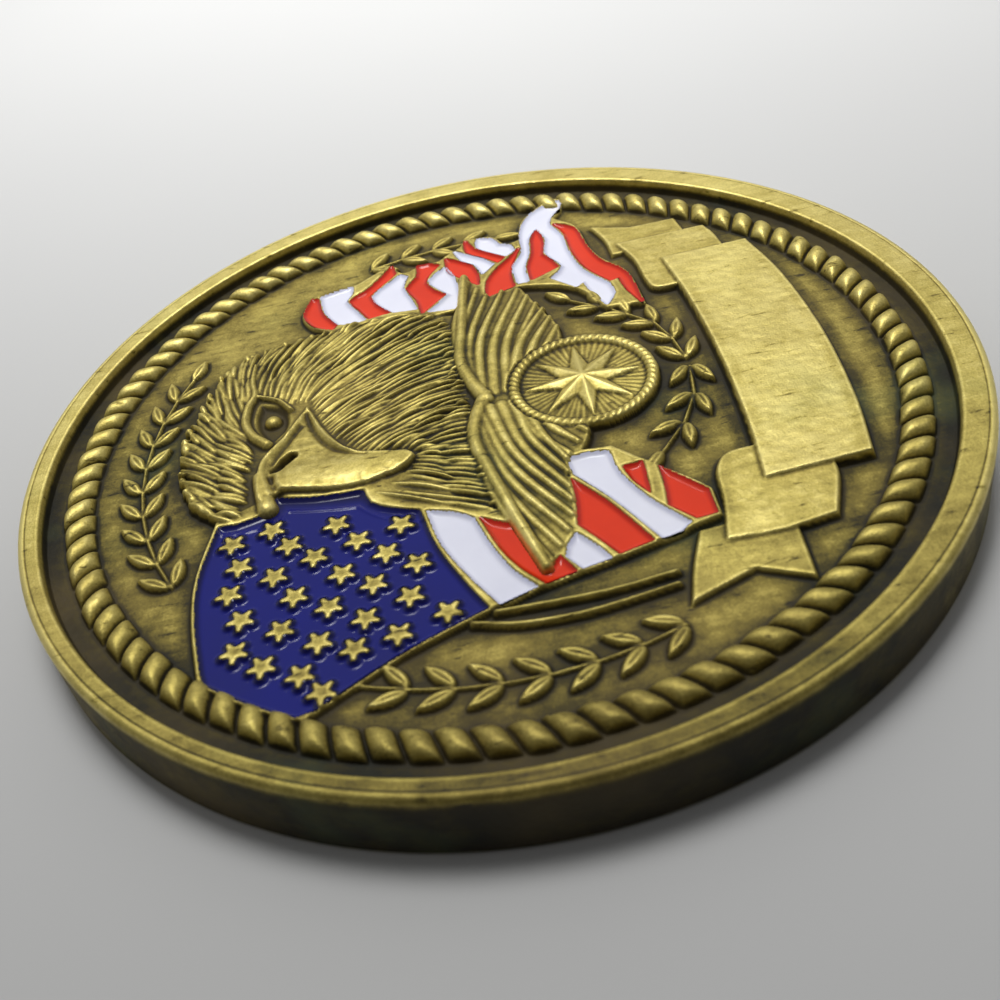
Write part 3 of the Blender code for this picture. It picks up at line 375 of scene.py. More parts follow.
def depth_inside(x, y, ring):
    """Distance to a closed ring: positive inside it, negative outside."""
    closed = np.vstack([ring, ring[:1]])
    far, _ = path_distance(x, y, closed)
    inside = np.zeros(x.shape, bool)
    for a, b in zip(closed, closed[1:]):
        if a[1] == b[1]:
            continue
        spans = (a[1] > y) != (b[1] > y)
        inside ^= spans & (x < (b[0] - a[0]) * (y - a[1]) / (b[1] - a[1]) + a[0])
    return np.where(inside, far, -far)


class Face:
    """Points on one face of the coin, the height of the metal at each, and how much extra patina it carries there."""

    def __init__(self, x, y, base):
        self.x, self.y = x, y
        self.z = np.full(x.shape, float(base))
        self.patina = np.zeros(x.shape)
        self.base = float(base)
        self.square = x.ndim == 2 and np.ptp(x[:, 0]) == 0

    def near(self, points, margin):
        """Where the face lies within margin of the points' box."""
        low, high = np.min(points, 0) - margin, np.max(points, 0) + margin
        if self.square:
            i = np.searchsorted(self.y[:, 0], (low[1], high[1]))
            j = np.searchsorted(self.x[0], (low[0], high[0]))
            return slice(*i), slice(*j)
        return np.nonzero(
            (self.x > low[0]) & (self.x < high[0]) & (self.y > low[1]) & (self.y < high[1])
        )

    def darken(self, ring, amount):
        """Extra patina inside a closed ring. A negative amount is a rubbed, brighter area."""
        where = self.near(ring, 0.3)
        x, y = self.x[where], self.y[where]
        if x.size:
            self.patina[where] += amount * smooth((depth_inside(x, y, ring) + 0.2) / 0.4)

    def raise_to(self, where, z):
        self.z[where] = np.maximum(self.z[where], z)

    def plateau(self, ring, height, slope=WALL_SLOPE, crown=None):
        """A flat-topped shape with steep sides. crown(x, y, depth) adds to its height."""
        where = self.near(ring, 0.1)
        x, y = self.x[where], self.y[where]
        if not x.size:
            return
        depth = depth_inside(x, y, ring)
        top = height if crown is None else height + crown(x, y, depth)
        self.raise_to(where, self.base + top * smooth((depth + 0.04) / slope))

    def ridge(self, path, width, height, low=0.0, taper=(1.0, 1.0), power=0.5):
        """A rounded ridge along a path, low high at its feet and height high along its crest."""
        where = self.near(path, width)
        x, y = self.x[where], self.y[where]
        if not x.size:
            return
        far, along = path_distance(x, y, path)
        half = width / 2 * (taper[0] + (taper[1] - taper[0]) * along)
        share = np.clip(1 - (far / half) ** 2, 0, 1)
        z = self.base + low + (height - low) * share**power
        self.raise_to(where, np.where(share > 0, z, -np.inf))


    def swell(self, path, width, height, inside=None):
        """Adds a soft swelling along a path, where inside (a closed ring) allows it."""
        where = self.near(path, 3 * width)
        x, y = self.x[where], self.y[where]
        if not x.size:
            return
        far = np.hypot(x - path[0][0], y - path[0][1]) if len(path) == 1 else path_distance(x, y, path)[0]
        lift = height * np.exp(-((far / width) ** 2))
        if inside is not None:
            lift = lift * smooth((depth_inside(x, y, inside) + 0.02) / 0.2)
        self.z[where] += lift


def lock_paths(guides, pitch, rng, span=(0.45, 0.8), wave=0.05):
    """Feather locks between neighbouring guides: each is a path that covers part of the way along them."""
    count = 24
    lines = [resampled(g, count) for g in guides]
    found = []
    for a, b in zip(lines, lines[1:]):
        gap = max(np.hypot(*(a[-1] - b[-1])), np.hypot(*(a[0] - b[0])))
        strands = max(2, round(gap / pitch))
        for k in range(strands):
            share = (k + rng.uniform(-0.25, 0.25)) / strands
            line = a * (1 - share) + b * share
            length = np.hypot(*np.diff(line, axis=0).T).sum()
            at = rng.uniform(-0.15, 0.1)
            while at < 0.92:
                reach = rng.uniform(*span)
                if at + reach > 0.8:
                    reach = 1 - at + rng.uniform(-0.05, 0.02)
                t = np.linspace(max(at, 0), min(at + reach, 1.02), 9)
                p = np.stack([np.interp(t, np.linspace(0, 1, count), line[:, k2]) for k2 in (0, 1)], 1)
                heading = p[-1] - p[0]
                side = np.array([-heading[1], heading[0]]) / max(np.hypot(*heading), 1e-9)
                swing = wave * np.sin(np.linspace(0, rng.uniform(2, 5), 9) + rng.uniform(0, 6.28))
                found.append((p + side * swing[:, None], length * reach))
                at += reach * rng.uniform(0.75, 0.95)
    return found


def add_locks(face, paths, rng, width, low, high):
    """Each lock rises from its root, is highest before its tip, and ends in a point."""
    for path, _ in paths:
        wide = width * rng.uniform(0.75, 1.25)
        crest = high + rng.uniform(-0.09, 0.07)
        where = face.near(path, wide)
        x, y = face.x[where], face.y[where]
        if not x.size:
            continue
        far, along = path_distance(x, y, path)
        half = wide / 2 * np.minimum(1.0, np.minimum(0.55 + 2.5 * along, 0.12 + 3.2 * (1 - along)))
        share = np.clip(1 - (far / half) ** 2, 0, 1)
        lift = (crest - low) * (0.55 + 0.45 * np.sin(np.pi * np.clip(along * 0.85 + 0.1, 0, 1)))
        z = face.base + low + lift * share**0.7
        face.raise_to(where, np.where(share > 0, z, -np.inf))


def add_leaf(face, root, heading_deg, length, height):
    """A laurel leaf: pointed at both ends, crowned, with a groove for its midrib."""
    a = math.radians(heading_deg)
    along = np.array([math.cos(a), math.sin(a)])
    root = np.asarray(root)
    where = face.near(np.array([root, root + along * length]), LEAF_SLENDERNESS * length)
    x, y = face.x[where] - root[0], face.y[where] - root[1]
    if not x.size:
        return
    s = (x * along[0] + y * along[1]) / length
    d = np.abs(-x * along[1] + y * along[0])
    half = LEAF_SLENDERNESS * length / 2 * np.sin(np.pi * np.clip(s, 0, 1) ** 0.85) ** 0.8 + 1e-6
    share = np.clip(1 - (d / half) ** 2.2, 0, 1)
    groove = 0.1 * np.exp(-((d / 0.07) ** 2)) * smooth((0.9 - s) / 0.3)
    inside = (s > 0) & (s < 1) & (share > 0)
    z = face.base + height * share**0.4 * (0.75 + 0.25 * np.sin(np.pi * np.clip(s, 0, 1))) - groove
    face.raise_to(where, np.where(inside, z, -np.inf))


def add_laurel(face, path, height, length=LEAF_LENGTH, stem=0.22):
    """Pairs of leaves along a path, a pair at each point, and one leaf at the end, on a thin stem."""
    face.ridge(np.asarray(path), stem, height * 0.55)
    for here, there in zip(path, path[1:]):
        heading = math.degrees(math.atan2(there[1] - here[1], there[0] - here[0]))
        for side in (-1, 1):
            turn = math.radians(heading + 90 * side)
            nudge = 0.07 * length * np.array([math.cos(turn), math.sin(turn)])
            add_leaf(face, np.asarray(here) + nudge, heading + side * LEAF_SPREAD_DEG, length, height)
    add_leaf(face, path[-1], heading, length, height)


# ------------------------------------------------------------------------------------------------ the obverse
def cell_ring(node):
    """The cell of an enamel solid of the frame: the outer loop of its top face."""
    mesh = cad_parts[node].data
    points = np.array([v.co for v in mesh.vertices]) / MM
    keys, index = np.unique(np.round(points, 3), axis=0, return_inverse=True)
    index = index.reshape(-1)
    top = keys[:, 2] > keys[:, 2].max() - 0.01
    edges = {}
    for polygon in mesh.polygons:
        corners = [int(index[v]) for v in polygon.vertices]
        if all(top[c] for c in corners):
            for a, b in zip(corners, corners[1:] + corners[:1]):
                edges[(a, b)] = True
    loops = []
    following = {a: b for a, b in edges if (b, a) not in edges}
    while following:
        start, here = following.popitem()
        loop = [start]
        while here != start:
            loop.append(here)
            here = following.pop(here)
        loops.append(keys[loop][:, :2])
    return max(loops, key=lambda loop: np.ptp(loop[:, 0]) * np.ptp(loop[:, 1]))


def rope_height(x, y):
    """Twisted-rope border: each strand is a short leaning cylinder with rounded ends."""
    x, y = x - DIES_CENTRE[0], y - DIES_CENTRE[1]
    across = (np.hypot(x, y) - ROPE_RADIUS) / (ROPE_WIDTH / 2)
    turn = np.degrees(np.arctan2(y, x)) - ROPE_LEAN_DEG * across / 2
    number = turn * ROPE_STRANDS / 360
    strand = np.floor(number)
    phase = (number - strand - 0.5) * 2
    drift = 0.05 * np.sin(strand * 2.4) + 0.03 * np.sin(strand * 5.1)
    across = across + drift
    narrow = 0.96 - 0.1 * across**2
    body = np.clip(1 - np.abs(phase / narrow) ** 2.0, 0, 1) ** 0.5
    ends = np.clip(1 - np.abs(across) ** 3.0, 0, 1) ** 0.5
    tilt = 1 + 0.05 * across
    bead = (ROPE_HEIGHT + 0.02 * np.sin(strand * 1.7)) * body * ends * tilt
    core = 0.16 * np.clip(1 - (across / 0.7) ** 2, 0, 1)
    return np.maximum(bead, core)


def star_depth(x, y, centre):
    """Distance into a star of five blunt, tapering arms: positive inside it."""
    depth = np.full(x.shape, -np.inf)
    for i in range(5):
        a = math.radians(STAR_TURN_DEG + 72 * i)
        dx, dy = x - centre[0], y - centre[1]
        t = np.clip((dx * math.cos(a) + dy * math.sin(a)) / STAR_ARM, 0, 1)
        far = np.hypot(dx - t * STAR_ARM * math.cos(a), dy - t * STAR_ARM * math.sin(a))
        depth = np.maximum(depth, STAR_HUB_RADIUS + (STAR_TIP_RADIUS - STAR_HUB_RADIUS) * t - far)
    return depth


def add_stars(face):
    for centre in STAR_CENTRES:
        where = face.near([centre], 1.1)
        x, y = face.x[where], face.y[where]
        if x.size:
            rise = smooth((star_depth(x, y, centre) + STAR_SLOPE) / STAR_SLOPE)
            face.raise_to(where, face.base - 0.05 + (WALL_HEIGHT + 0.05) * rise)


def cell_growth(node):
    return next(growth for part, growth in CELL_GROWTH.items() if part in node)


def sink_cells(face, rings):
    for node, ring in rings.items():
        where = face.near(ring, 0.2)
        x, y = face.x[where], face.y[where]
        if not x.size:
            continue
        depth = depth_inside(x, y, ring) + cell_growth(node)
        floor = smooth(depth / WALL_SLOPE)
        z = face.z[where]
        face.z[where] = z + (np.minimum(z, CELL_FLOOR_Z) - z) * floor


def head_crown(x, y, depth):
    """The head is domed: highest behind the beak."""
    return 0.12 * np.exp(-(((x - 1.5) / 6.5) ** 2 + ((y - 9.5) / 6.0) ** 2))


def add_head(face, rng):
    face.plateau(outline(HEAD), 0.34, 0.5, head_crown)
    add_locks(face, lock_paths(HEAD_GUIDES[:8], 0.5, rng, (0.35, 0.6), 0.09), rng, 0.54, 0.24, 0.72)
    add_locks(face, lock_paths(HEAD_GUIDES[7:], 0.42, rng, (0.3, 0.7), 0.06), rng, 0.44, 0.24, 0.68)
    add_locks(face, lock_paths(NECK_GUIDES, 0.42, rng, (0.4, 0.8), 0.05), rng, 0.44, 0.2, 0.64)


def add_beak(face):
    ring = outline(BEAK)
    crest = curve_points(BEAK_CREST)

    def crown(x, y, depth):
        far, _ = path_distance(x, y, crest)
        front = x < np.interp(y, crest[::-1, 1], crest[::-1, 0])
        steep = 0.5 * (1 - np.sqrt(1 - np.clip(far / 1.8, 0, 0.98) ** 2))
        gentle = 0.05 * far + 0.12 * smooth(far / 1.6)
        return 0.36 - np.where(front, steep, np.minimum(gentle, 0.36))

    face.plateau(ring, 0.48, 0.3, crown)
    face.swell(curve_points(CERE), 0.24, 0.2, ring)
    face.swell(curve_points(LIP), 0.24, 0.24, ring)
    face.swell(curve_points(CERE_GROOVE), 0.16, -0.12, ring)
    face.swell(curve_points(LIP_GROOVE), 0.16, -0.12, ring)
    face.swell(curve_points(HOOK_CREASE), 0.22, -0.22)
    face.ridge(curve_points(BEAK_HOOK), 1.0, 0.82, 0.3, (0.7, 1.15), 0.6)
    where = face.near(ring, 0.0)
    x, y = face.x[where], face.y[where]
    if x.size:
        face.z[where] += 0.022 * unevenness(x, y, 0.3) * (depth_inside(x, y, ring) > 0)
    sink(face, curve_points(NOSTRIL), 0.36, 0.2)
    sink(face, curve_points(NOSTRIL[1:]), 0.3, 0.0)


def sink(face, path, reach, floor):
    """A hollow along a path, floor above the face's base at its bottom."""
    where = face.near(path, reach * 1.5)
    x, y = face.x[where], face.y[where]
    if x.size:
        far, _ = path_distance(x, y, path)
        z = face.z[where]
        share = 1 - smooth((far - reach * 0.45) / (reach * 0.6))
        face.z[where] = z + (np.minimum(z, face.base + floor) - z) * share


def add_eye(face):
    ring = outline(EYE_SOCKET)
    where = face.near(ring, 0.2)
    x, y = face.x[where], face.y[where]
    if not x.size:
        return
    depth = depth_inside(x, y, ring)
    z = face.z[where]
    socket = face.base + 0.44 - 0.3 * smooth(depth / 0.4)
    face.z[where] = z + (np.minimum(z, socket) - z) * smooth((depth + 0.08) / 0.16)
    far = np.hypot(x - EYE_CENTRE[0], y - EYE_CENTRE[1])
    ball = face.base + 0.2 + 0.42 * np.sqrt(np.clip(1 - (far / EYE_RADIUS) ** 2, 0, 1))
    face.raise_to(where, np.where(far < EYE_RADIUS, ball, -np.inf))
    face.ridge(curve_points(BROW), 0.85, 0.84, 0.36, (0.9, 0.45), 0.7)
    face.ridge(curve_points(LID), 0.55, 0.74, 0.36, (0.6, 0.7), 0.7)


def add_ribbon(face):
    for edges in RIBBON_TAILS:
        face.plateau(outline(edges), 0.3, 0.16)
    for edges in RIBBON_BACKS:
        face.plateau(outline(edges), 0.44, 0.16)
    face.plateau(outline(RIBBON_FRONT), 0.6, 0.18)


def add_feathers(face, roots, tips, rng):
    """Flight feathers: long blades, bowed towards the wing's leading edge, each ending in a point."""
    for start, end in zip(roots, tips):
        bow = FEATHER_BOW * np.hypot(*(end - start))
        middle = (start + end) / 2 + (0.0, bow)
        crest = WING_HEIGHT + 0.17 + rng.uniform(-0.04, 0.03)
        face.ridge(curve_points([start, middle, end]), FEATHER_WIDTH, crest, WING_HEIGHT - 0.02, (0.9, 0.4), 0.8)


def add_wing(face, edges, leading, rows, rng):
    """A wing: its flat ground, rows of feathers (each a root curve, a tip curve and a count), and its leading edge."""
    face.plateau(outline(edges), WING_HEIGHT, 0.2)
    for roots, tips, count in rows:
        add_feathers(face, resampled(roots, count), resampled(tips, count), rng)
    face.ridge(curve_points(leading), 1.15, 0.78, 0.3, (0.9, 0.6), 0.6)


def add_medallion(face):
    """An eight-pointed compass star on a fluted disc with a corded rim."""
    cx, cy = COMPASS_CENTRE
    where = face.near([COMPASS_CENTRE], MEDALLION_RADIUS + 0.2)
    x, y = face.x[where] - cx, face.y[where] - cy
    if not x.size:
        return
    r, turn = np.hypot(x, y), np.arctan2(y, x)
    flutes = 0.05 * np.abs(np.sin(turn * MEDALLION_FLUTES / 2)) * smooth(r / 1.0)
    disc = (0.34 + flutes) * smooth((MEDALLION_RADIUS - r) / 0.15)
    cord = np.clip(1 - ((r - MEDALLION_RADIUS + 0.35) / 0.36) ** 2, 0, 1) ** 0.5
    strands = 0.72 + 0.28 * np.abs(np.cos((turn * MEDALLION_FLUTES + 5 * (r - MEDALLION_RADIUS)) / 2))
    covered = np.minimum(face.z[where], face.base + 0.3)
    face.z[where] = np.where(r < MEDALLION_RADIUS, covered, face.z[where])
    face.raise_to(where, face.base + np.where(r < MEDALLION_RADIUS + 0.1, disc, -np.inf))
    face.raise_to(where, face.base + np.where(cord > 0, 0.3 + 0.38 * cord * strands, -np.inf))
    ring = star_ring(COMPASS_CENTRE, COMPASS_RADIUS, COMPASS_WAIST, 8, 90.0)
    add_faceted_star(face, ring, COMPASS_CENTRE, 0.48, 0.84)


def add_emblem(face, rng):
    add_wing(face, LEFT_WING, LEFT_WING[0], LEFT_FEATHERS, rng)
    add_wing(face, RIGHT_WING, RIGHT_WING[3][::-1], RIGHT_FEATHERS, rng)
    for branch in WREATH_BRANCHES:
        path = resampled(branch, 1 + round(path_length(branch) / LAUREL_PITCH))
        add_laurel(face, path, 0.5)
    add_medallion(face)


def add_faceted_star(face, ring, centre, low, high):
    """A star whose arms are roof-shaped, rising to its centre."""
    where = face.near(ring, 0.1)
    x, y = face.x[where], face.y[where]
    if not x.size:
        return
    z = np.full(x.shape, -np.inf)
    cx, cy = centre
    for a, b in zip(ring, np.roll(ring, -1, 0)):
        det = (a[0] - cx) * (b[1] - cy) - (b[0] - cx) * (a[1] - cy)
        u = ((x - cx) * (b[1] - cy) - (y - cy) * (b[0] - cx)) / det
        v = ((a[0] - cx) * (y - cy) - (a[1] - cy) * (x - cx)) / det
        inside = (u >= 0) & (v >= 0) & (u + v <= 1)
        z[inside] = np.maximum(z[inside], (face.base + high - (high - low) * (u + v))[inside])
    face.raise_to(where, z)


def unevenness(x, y, pitch):
    """Smooth random heights from -1 to 1, about pitch apart."""
    count = math.ceil(2 * RADIUS / pitch) + 3
    lattice = np.random.default_rng(SEED).uniform(-1, 1, (count, count))
    u, v = (x + RADIUS) / pitch + 1, (y + RADIUS) / pitch + 1
    i, j = np.floor(v).astype(int), np.floor(u).astype(int)
    s, t = smooth(v - i), smooth(u - j)
    lower = lattice[i, j] * (1 - t) + lattice[i, j + 1] * t
    upper = lattice[i + 1, j] * (1 - t) + lattice[i + 1, j + 1] * t
    return lower * (1 - s) + upper * s


def obverse(face, cells, rng):
    """Raises and sinks everything on the obverse."""
    for edges in (LEFT_FLAG, RIGHT_FLAG):
        face.plateau(outline(edges), WALL_HEIGHT, 0.24)
    for path in FLAG_POLE:
        face.ridge(curve_points(path), 0.42, 0.42, 0.0, (1.0, 0.8), 0.6)
    add_ribbon(face)
    for radius, first, last in LAUREL_ARCS:
        add_laurel(face, arc_path(radius, first, last, LAUREL_PITCH), 0.42)
    sink_cells(face, cells)
    add_stars(face)
    add_head(face, rng)
    add_emblem(face, rng)
    add_beak(face)
    add_eye(face)
    rope = rope_height(face.x, face.y)
    face.raise_to(..., np.where(rope > 0.02, face.base + rope, -np.inf))
    for edges, amount in PATINA:
        face.darken(outline(edges), amount)
    for pitch, depth in CAST_GRAIN:
        face.z += depth * unevenness(face.x, face.y, pitch)
    proud = np.clip(face.z - (THICKNESS - RIM_COVER - RELIEF_EASE), 0, None)
    face.z -= proud - RELIEF_EASE * (1 - np.exp(-proud / RELIEF_EASE))


# ---------------------------------------------------------------------------------------------------- meshes
def blurred(z, reaches, wrap):
    """The mean over a window of reaches cells each way. wrap says that the columns close on themselves."""
    for axis, reach in enumerate(reaches):
        reach = max(1, reach)
        mode = "wrap" if wrap and axis == 1 else "edge"
        pad = [(0, 0), (0, 0)]
        pad[axis] = (reach + 1, reach)
        total = np.cumsum(np.pad(z, pad, mode=mode), axis=axis)
        upper = np.take(total, range(2 * reach + 1, total.shape[axis]), axis=axis)
        lower = np.take(total, range(0, total.shape[axis] - 2 * reach - 1), axis=axis)
        z = (upper - lower) / (2 * reach + 1)
    return z


def worn_share(z, base, steps, wrap=False):
    """How far the metal is rubbed bright: 0 in the hollows, 1 on what stands highest and proudest."""
    near = z - blurred(z, [round(NEAR_REACH / step) for step in steps], wrap)
    wide = z - blurred(z, [round(WIDE_REACH / step) for step in steps], wrap)
    rugged = blurred(np.abs(near), [round(RUGGED_REACH / step) for step in steps], wrap)
    height = np.clip((z - base) / (THICKNESS - FIELD_Z), 0, 0.72)
    wear_and_shade = 0.47 + 0.38 * height - np.clip(4.4 * rugged, 0, 0.3)
    return np.clip(wear_and_shade + np.clip(5.5 * near, -0.5, 0.12) + np.clip(0.6 * wide, -0.26, 0.05), 0, 1)


def vertex_normals(points, quads):
    """Normals averaged over the faces at each vertex."""
    a, b, c, d = (points[quads[:, k]] for k in range(4))
    across = np.cross(c - a, d - b)
    normals = np.zeros(points.shape)
    for axis in range(3):
        for k in range(4):
            normals[:, axis] += np.bincount(quads[:, k], across[:, axis], len(points))
    return normals / np.maximum(np.linalg.norm(normals, axis=1, keepdims=True), 1e-12)


def add_piece(name, points, quads, normals, layers, uv, material, stands_for):
    """A mesh piece from arrays in millimetres. layers holds a value per point, uv a place per quad's corner."""
    used, local = np.unique(quads, return_inverse=True)
    local = local.reshape(quads.shape)
    mesh = bpy.data.meshes.new(name)
    mesh.vertices.add(len(used))
    mesh.vertices.foreach_set("co", (points[used] * MM).astype(np.float32).ravel())
    mesh.loops.add(local.size)
    mesh.loops.foreach_set("vertex_index", local.astype(np.int32).ravel())
    mesh.polygons.add(len(local))
    mesh.polygons.foreach_set("loop_start", np.arange(0, local.size, 4, dtype=np.int32))
    mesh.update(calc_edges=True)
    mesh.polygons.foreach_set("use_smooth", np.ones(len(mesh.polygons), bool))
    for key, values in layers.items():
        layer = mesh.attributes.new(key, "FLOAT", "POINT")
        layer.data.foreach_set("value", values[used].astype(np.float32))
    layer = mesh.uv_layers.new(name="OFBake")
    layer.data.foreach_set("uv", uv.astype(np.float32).ravel())
    mesh.normals_split_custom_set_from_vertices(normals[used].tolist())
    mesh.materials.append(material)
    made = bpy.data.objects.new(name, mesh)
    bpy.context.scene.collection.objects.link(made)
    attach(made, "root")
    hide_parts(*stands_for)


def square_grid(step):
    """A square grid about the dies' centre: its ticks, the quads within the disc, and which points bound them."""
    half = math.ceil((DISC + WIDE_REACH + 0.1) / step)
    ticks = np.arange(-half, half + 1) * step
    middle = ticks[:-1] + step / 2
    n = len(ticks)
    i, j = np.nonzero(np.hypot(*np.meshgrid(middle, middle)) < DISC)
    corner = i * n + j
    quads = np.stack([corner, corner + 1, corner + n + 1, corner + n], 1)
    uses = np.bincount(quads.ravel(), minlength=n * n).reshape(n, n)
    return ticks, quads, (uses > 0) & (uses < 4)


def disc_points(step, base, shape):
    """Points of the square grid, their heights from shape(face), and the grid's outermost points moved on to the
    circle where the polar grid starts."""
    ticks, quads, edge = square_grid(step)
    u, v = np.meshgrid(ticks, ticks)
    face = Face(DIES_CENTRE[0] + u, DIES_CENTRE[1] + v, base)
    shape(face)
    face.z += 0.6 * (blurred(face.z, (1, 1), False) - face.z)
    wear_and_shade = np.clip(worn_share(face.z, base, (step, step)) - face.patina, 0, 1)
    pull = DISC / np.hypot(u[edge], v[edge])
    border = Face(DIES_CENTRE[0] + u[edge] * pull, DIES_CENTRE[1] + v[edge] * pull, base)
    shape(border)
    for whole, part in ((face.x, border.x), (face.y, border.y), (face.z, border.z)):
        whole[edge] = part
    return np.stack([face.x.ravel(), face.y.ravel(), face.z.ravel()], 1), quads, wear_and_shade.ravel()


def flat_uv(points, quads):
    """Seen from above, fitted to the unit square."""
    used = points[np.unique(quads), :2]
    return 0.01 + 0.98 * (points[quads][:, :, :2] - used.min(0)) / np.ptp(used, axis=0).max()


def ring_quads(rows):
    """Quads between rows of COLUMNS points, closed on themselves."""
    column = np.arange(COLUMNS)
    following = (column + 1) % COLUMNS
    return np.concatenate([
        np.stack([r * COLUMNS + column, (r + 1) * COLUMNS + column,
                  (r + 1) * COLUMNS + following, r * COLUMNS + following], 1)
        for r in range(rows - 1)
    ])


def ring_uv(quads, lanes):
    """A ring of quads cut into lanes, stacked in the unit square."""
    row, column = quads[:, 0] // COLUMNS, quads[:, 0] % COLUMNS
    first, count = column.min(), np.ptp(column) + 1
    if count < COLUMNS and column.max() == COLUMNS - 1:  # the run of columns passes the ring's seam
        column = (column + COLUMNS // 2) % COLUMNS
        first, count = column.min(), np.ptp(column) + 1
    lane, place = np.divmod((column - first) * lanes / count, 1)
    width = lanes / count
    u = 0.01 + 0.98 * np.stack([place, place, place + width, place + width], 1)
    share = (row[:, None] - row.min() + np.array([0, 1, 1, 0])) / (np.ptp(row) + 1)
    return np.stack([u, (lane[:, None] + 0.03 + 0.94 * share) / lanes], 2)


def obverse_zones(centres):
    """Which part of the face each quad belongs to. The cuts are straight, so neighbours share their edge points."""
    x, y = centres[:, 0], centres[:, 1]
    upper, lower = y > 1.2, y <= -8.4
    middle = ~upper & ~lower
    return {
        "coin_obverse_canton": upper & (x < -1.8),
        "coin_obverse_eagle": upper & (x >= -1.8),
        "coin_obverse_flag": middle & (x < 1.2),
        "coin_obverse_emblem": middle & (x >= 1.2),
        "coin_obverse_ribbon": lower,
    }


def add_brass(name, points, quads, normals, wear_and_shade, uv, brass):
    add_piece(name, points, quads, normals, {"wear_and_shade": wear_and_shade}, uv, brass, ["struck_coin"])


def build_obverse(cells, brass):
    def shape(face):
        obverse(face, cells, np.random.default_rng(SEED))

    points, quads, wear_and_shade = disc_points(STEP, FIELD_Z, shape)
    normals = vertex_normals(points, quads)
    for name, mask in obverse_zones(points[quads].mean(1)).items():
        part = quads[mask]
        add_brass(name, points, part, normals, wear_and_shade, flat_uv(points, part), brass)


def outer_reach(turns, radius):
    """Distance from the dies' centre to the circle of this radius about the coin's axis, at each angle."""
    cx, cy = DIES_CENTRE
    along = cx * np.cos(turns) + cy * np.sin(turns)
    return -along + np.sqrt(along**2 - (cx**2 + cy**2) + radius**2)


def border_rows(base, rim_z, shape):
    """Rows of points from the disc out to the rim's lip, and how worn each is. base and rim_z are heights above the
    same level, and the rows stand that high."""
    cx, cy = DIES_CENTRE
    turns = np.arange(COLUMNS) * 2 * math.pi / COLUMNS
    lead = math.ceil(WIDE_REACH / ROW_STEP)
    inner = DISC + ROW_STEP * np.arange(-lead, round((RIM_INNER - 0.3 - DISC) / ROW_STEP))
    radii = np.concatenate([inner, np.linspace(RIM_INNER - 0.3, RIM_LIP + 0.15, 14)])
    r = np.repeat(radii[:, None], COLUMNS, 1)
    face = Face(cx + r * np.cos(turns), cy + r * np.sin(turns), base)
    shape(face)
    face.z += (rim_z - face.z) * smooth((r - RIM_INNER + 0.07) / 0.2)
    wear_and_shade = worn_share(face.z, base, (ROW_STEP, 2 * math.pi * ROPE_RADIUS / COLUMNS), True)
    face.z -= 0.03 * np.exp(-(((r - RIM_LIP - 0.03) / 0.05) ** 2))
    points = np.stack([face.x, face.y, face.z], 2)
    return points[lead:], wear_and_shade[lead:], len(inner) - lead


def circle_row(radius, z):
    """A row of points on the circle of this radius about the coin's axis."""
    turns = np.arange(COLUMNS) * 2 * math.pi / COLUMNS
    reach = outer_reach(turns, radius)
    x, y = DIES_CENTRE[0] + reach * np.cos(turns), DIES_CENTRE[1] + reach * np.sin(turns)
    return np.stack([x, y, np.full(COLUMNS, z)], 1)


def edge_profile():
    """Radius, height and wear down the coin's edge: a fine turned line near the rim's outer edge, the rounding, the
    side, and the rounding below."""
    line = RADIUS - EDGE_ROUNDING - 0.12
    found = [(line - 0.06, THICKNESS, 0.7), (line, THICKNESS - 0.02, 0.35), (line + 0.06, THICKNESS, 0.7)]
    for a in np.radians(np.linspace(90, 0, 7)):
        radius = RADIUS - EDGE_ROUNDING + EDGE_ROUNDING * math.cos(a)
        found.append((radius, THICKNESS - EDGE_ROUNDING + EDGE_ROUNDING * math.sin(a), 0.92))
    for z in np.linspace(THICKNESS - EDGE_ROUNDING, REVERSE_ROUNDING, 9)[1:]:
        found.append((RADIUS, z, 0.44))
    for a in np.radians(np.linspace(0, 90, 6))[1:]:
        radius = RADIUS - REVERSE_ROUNDING + REVERSE_ROUNDING * math.cos(a)
        found.append((radius, REVERSE_ROUNDING - REVERSE_ROUNDING * math.sin(a), 0.7))
    return found


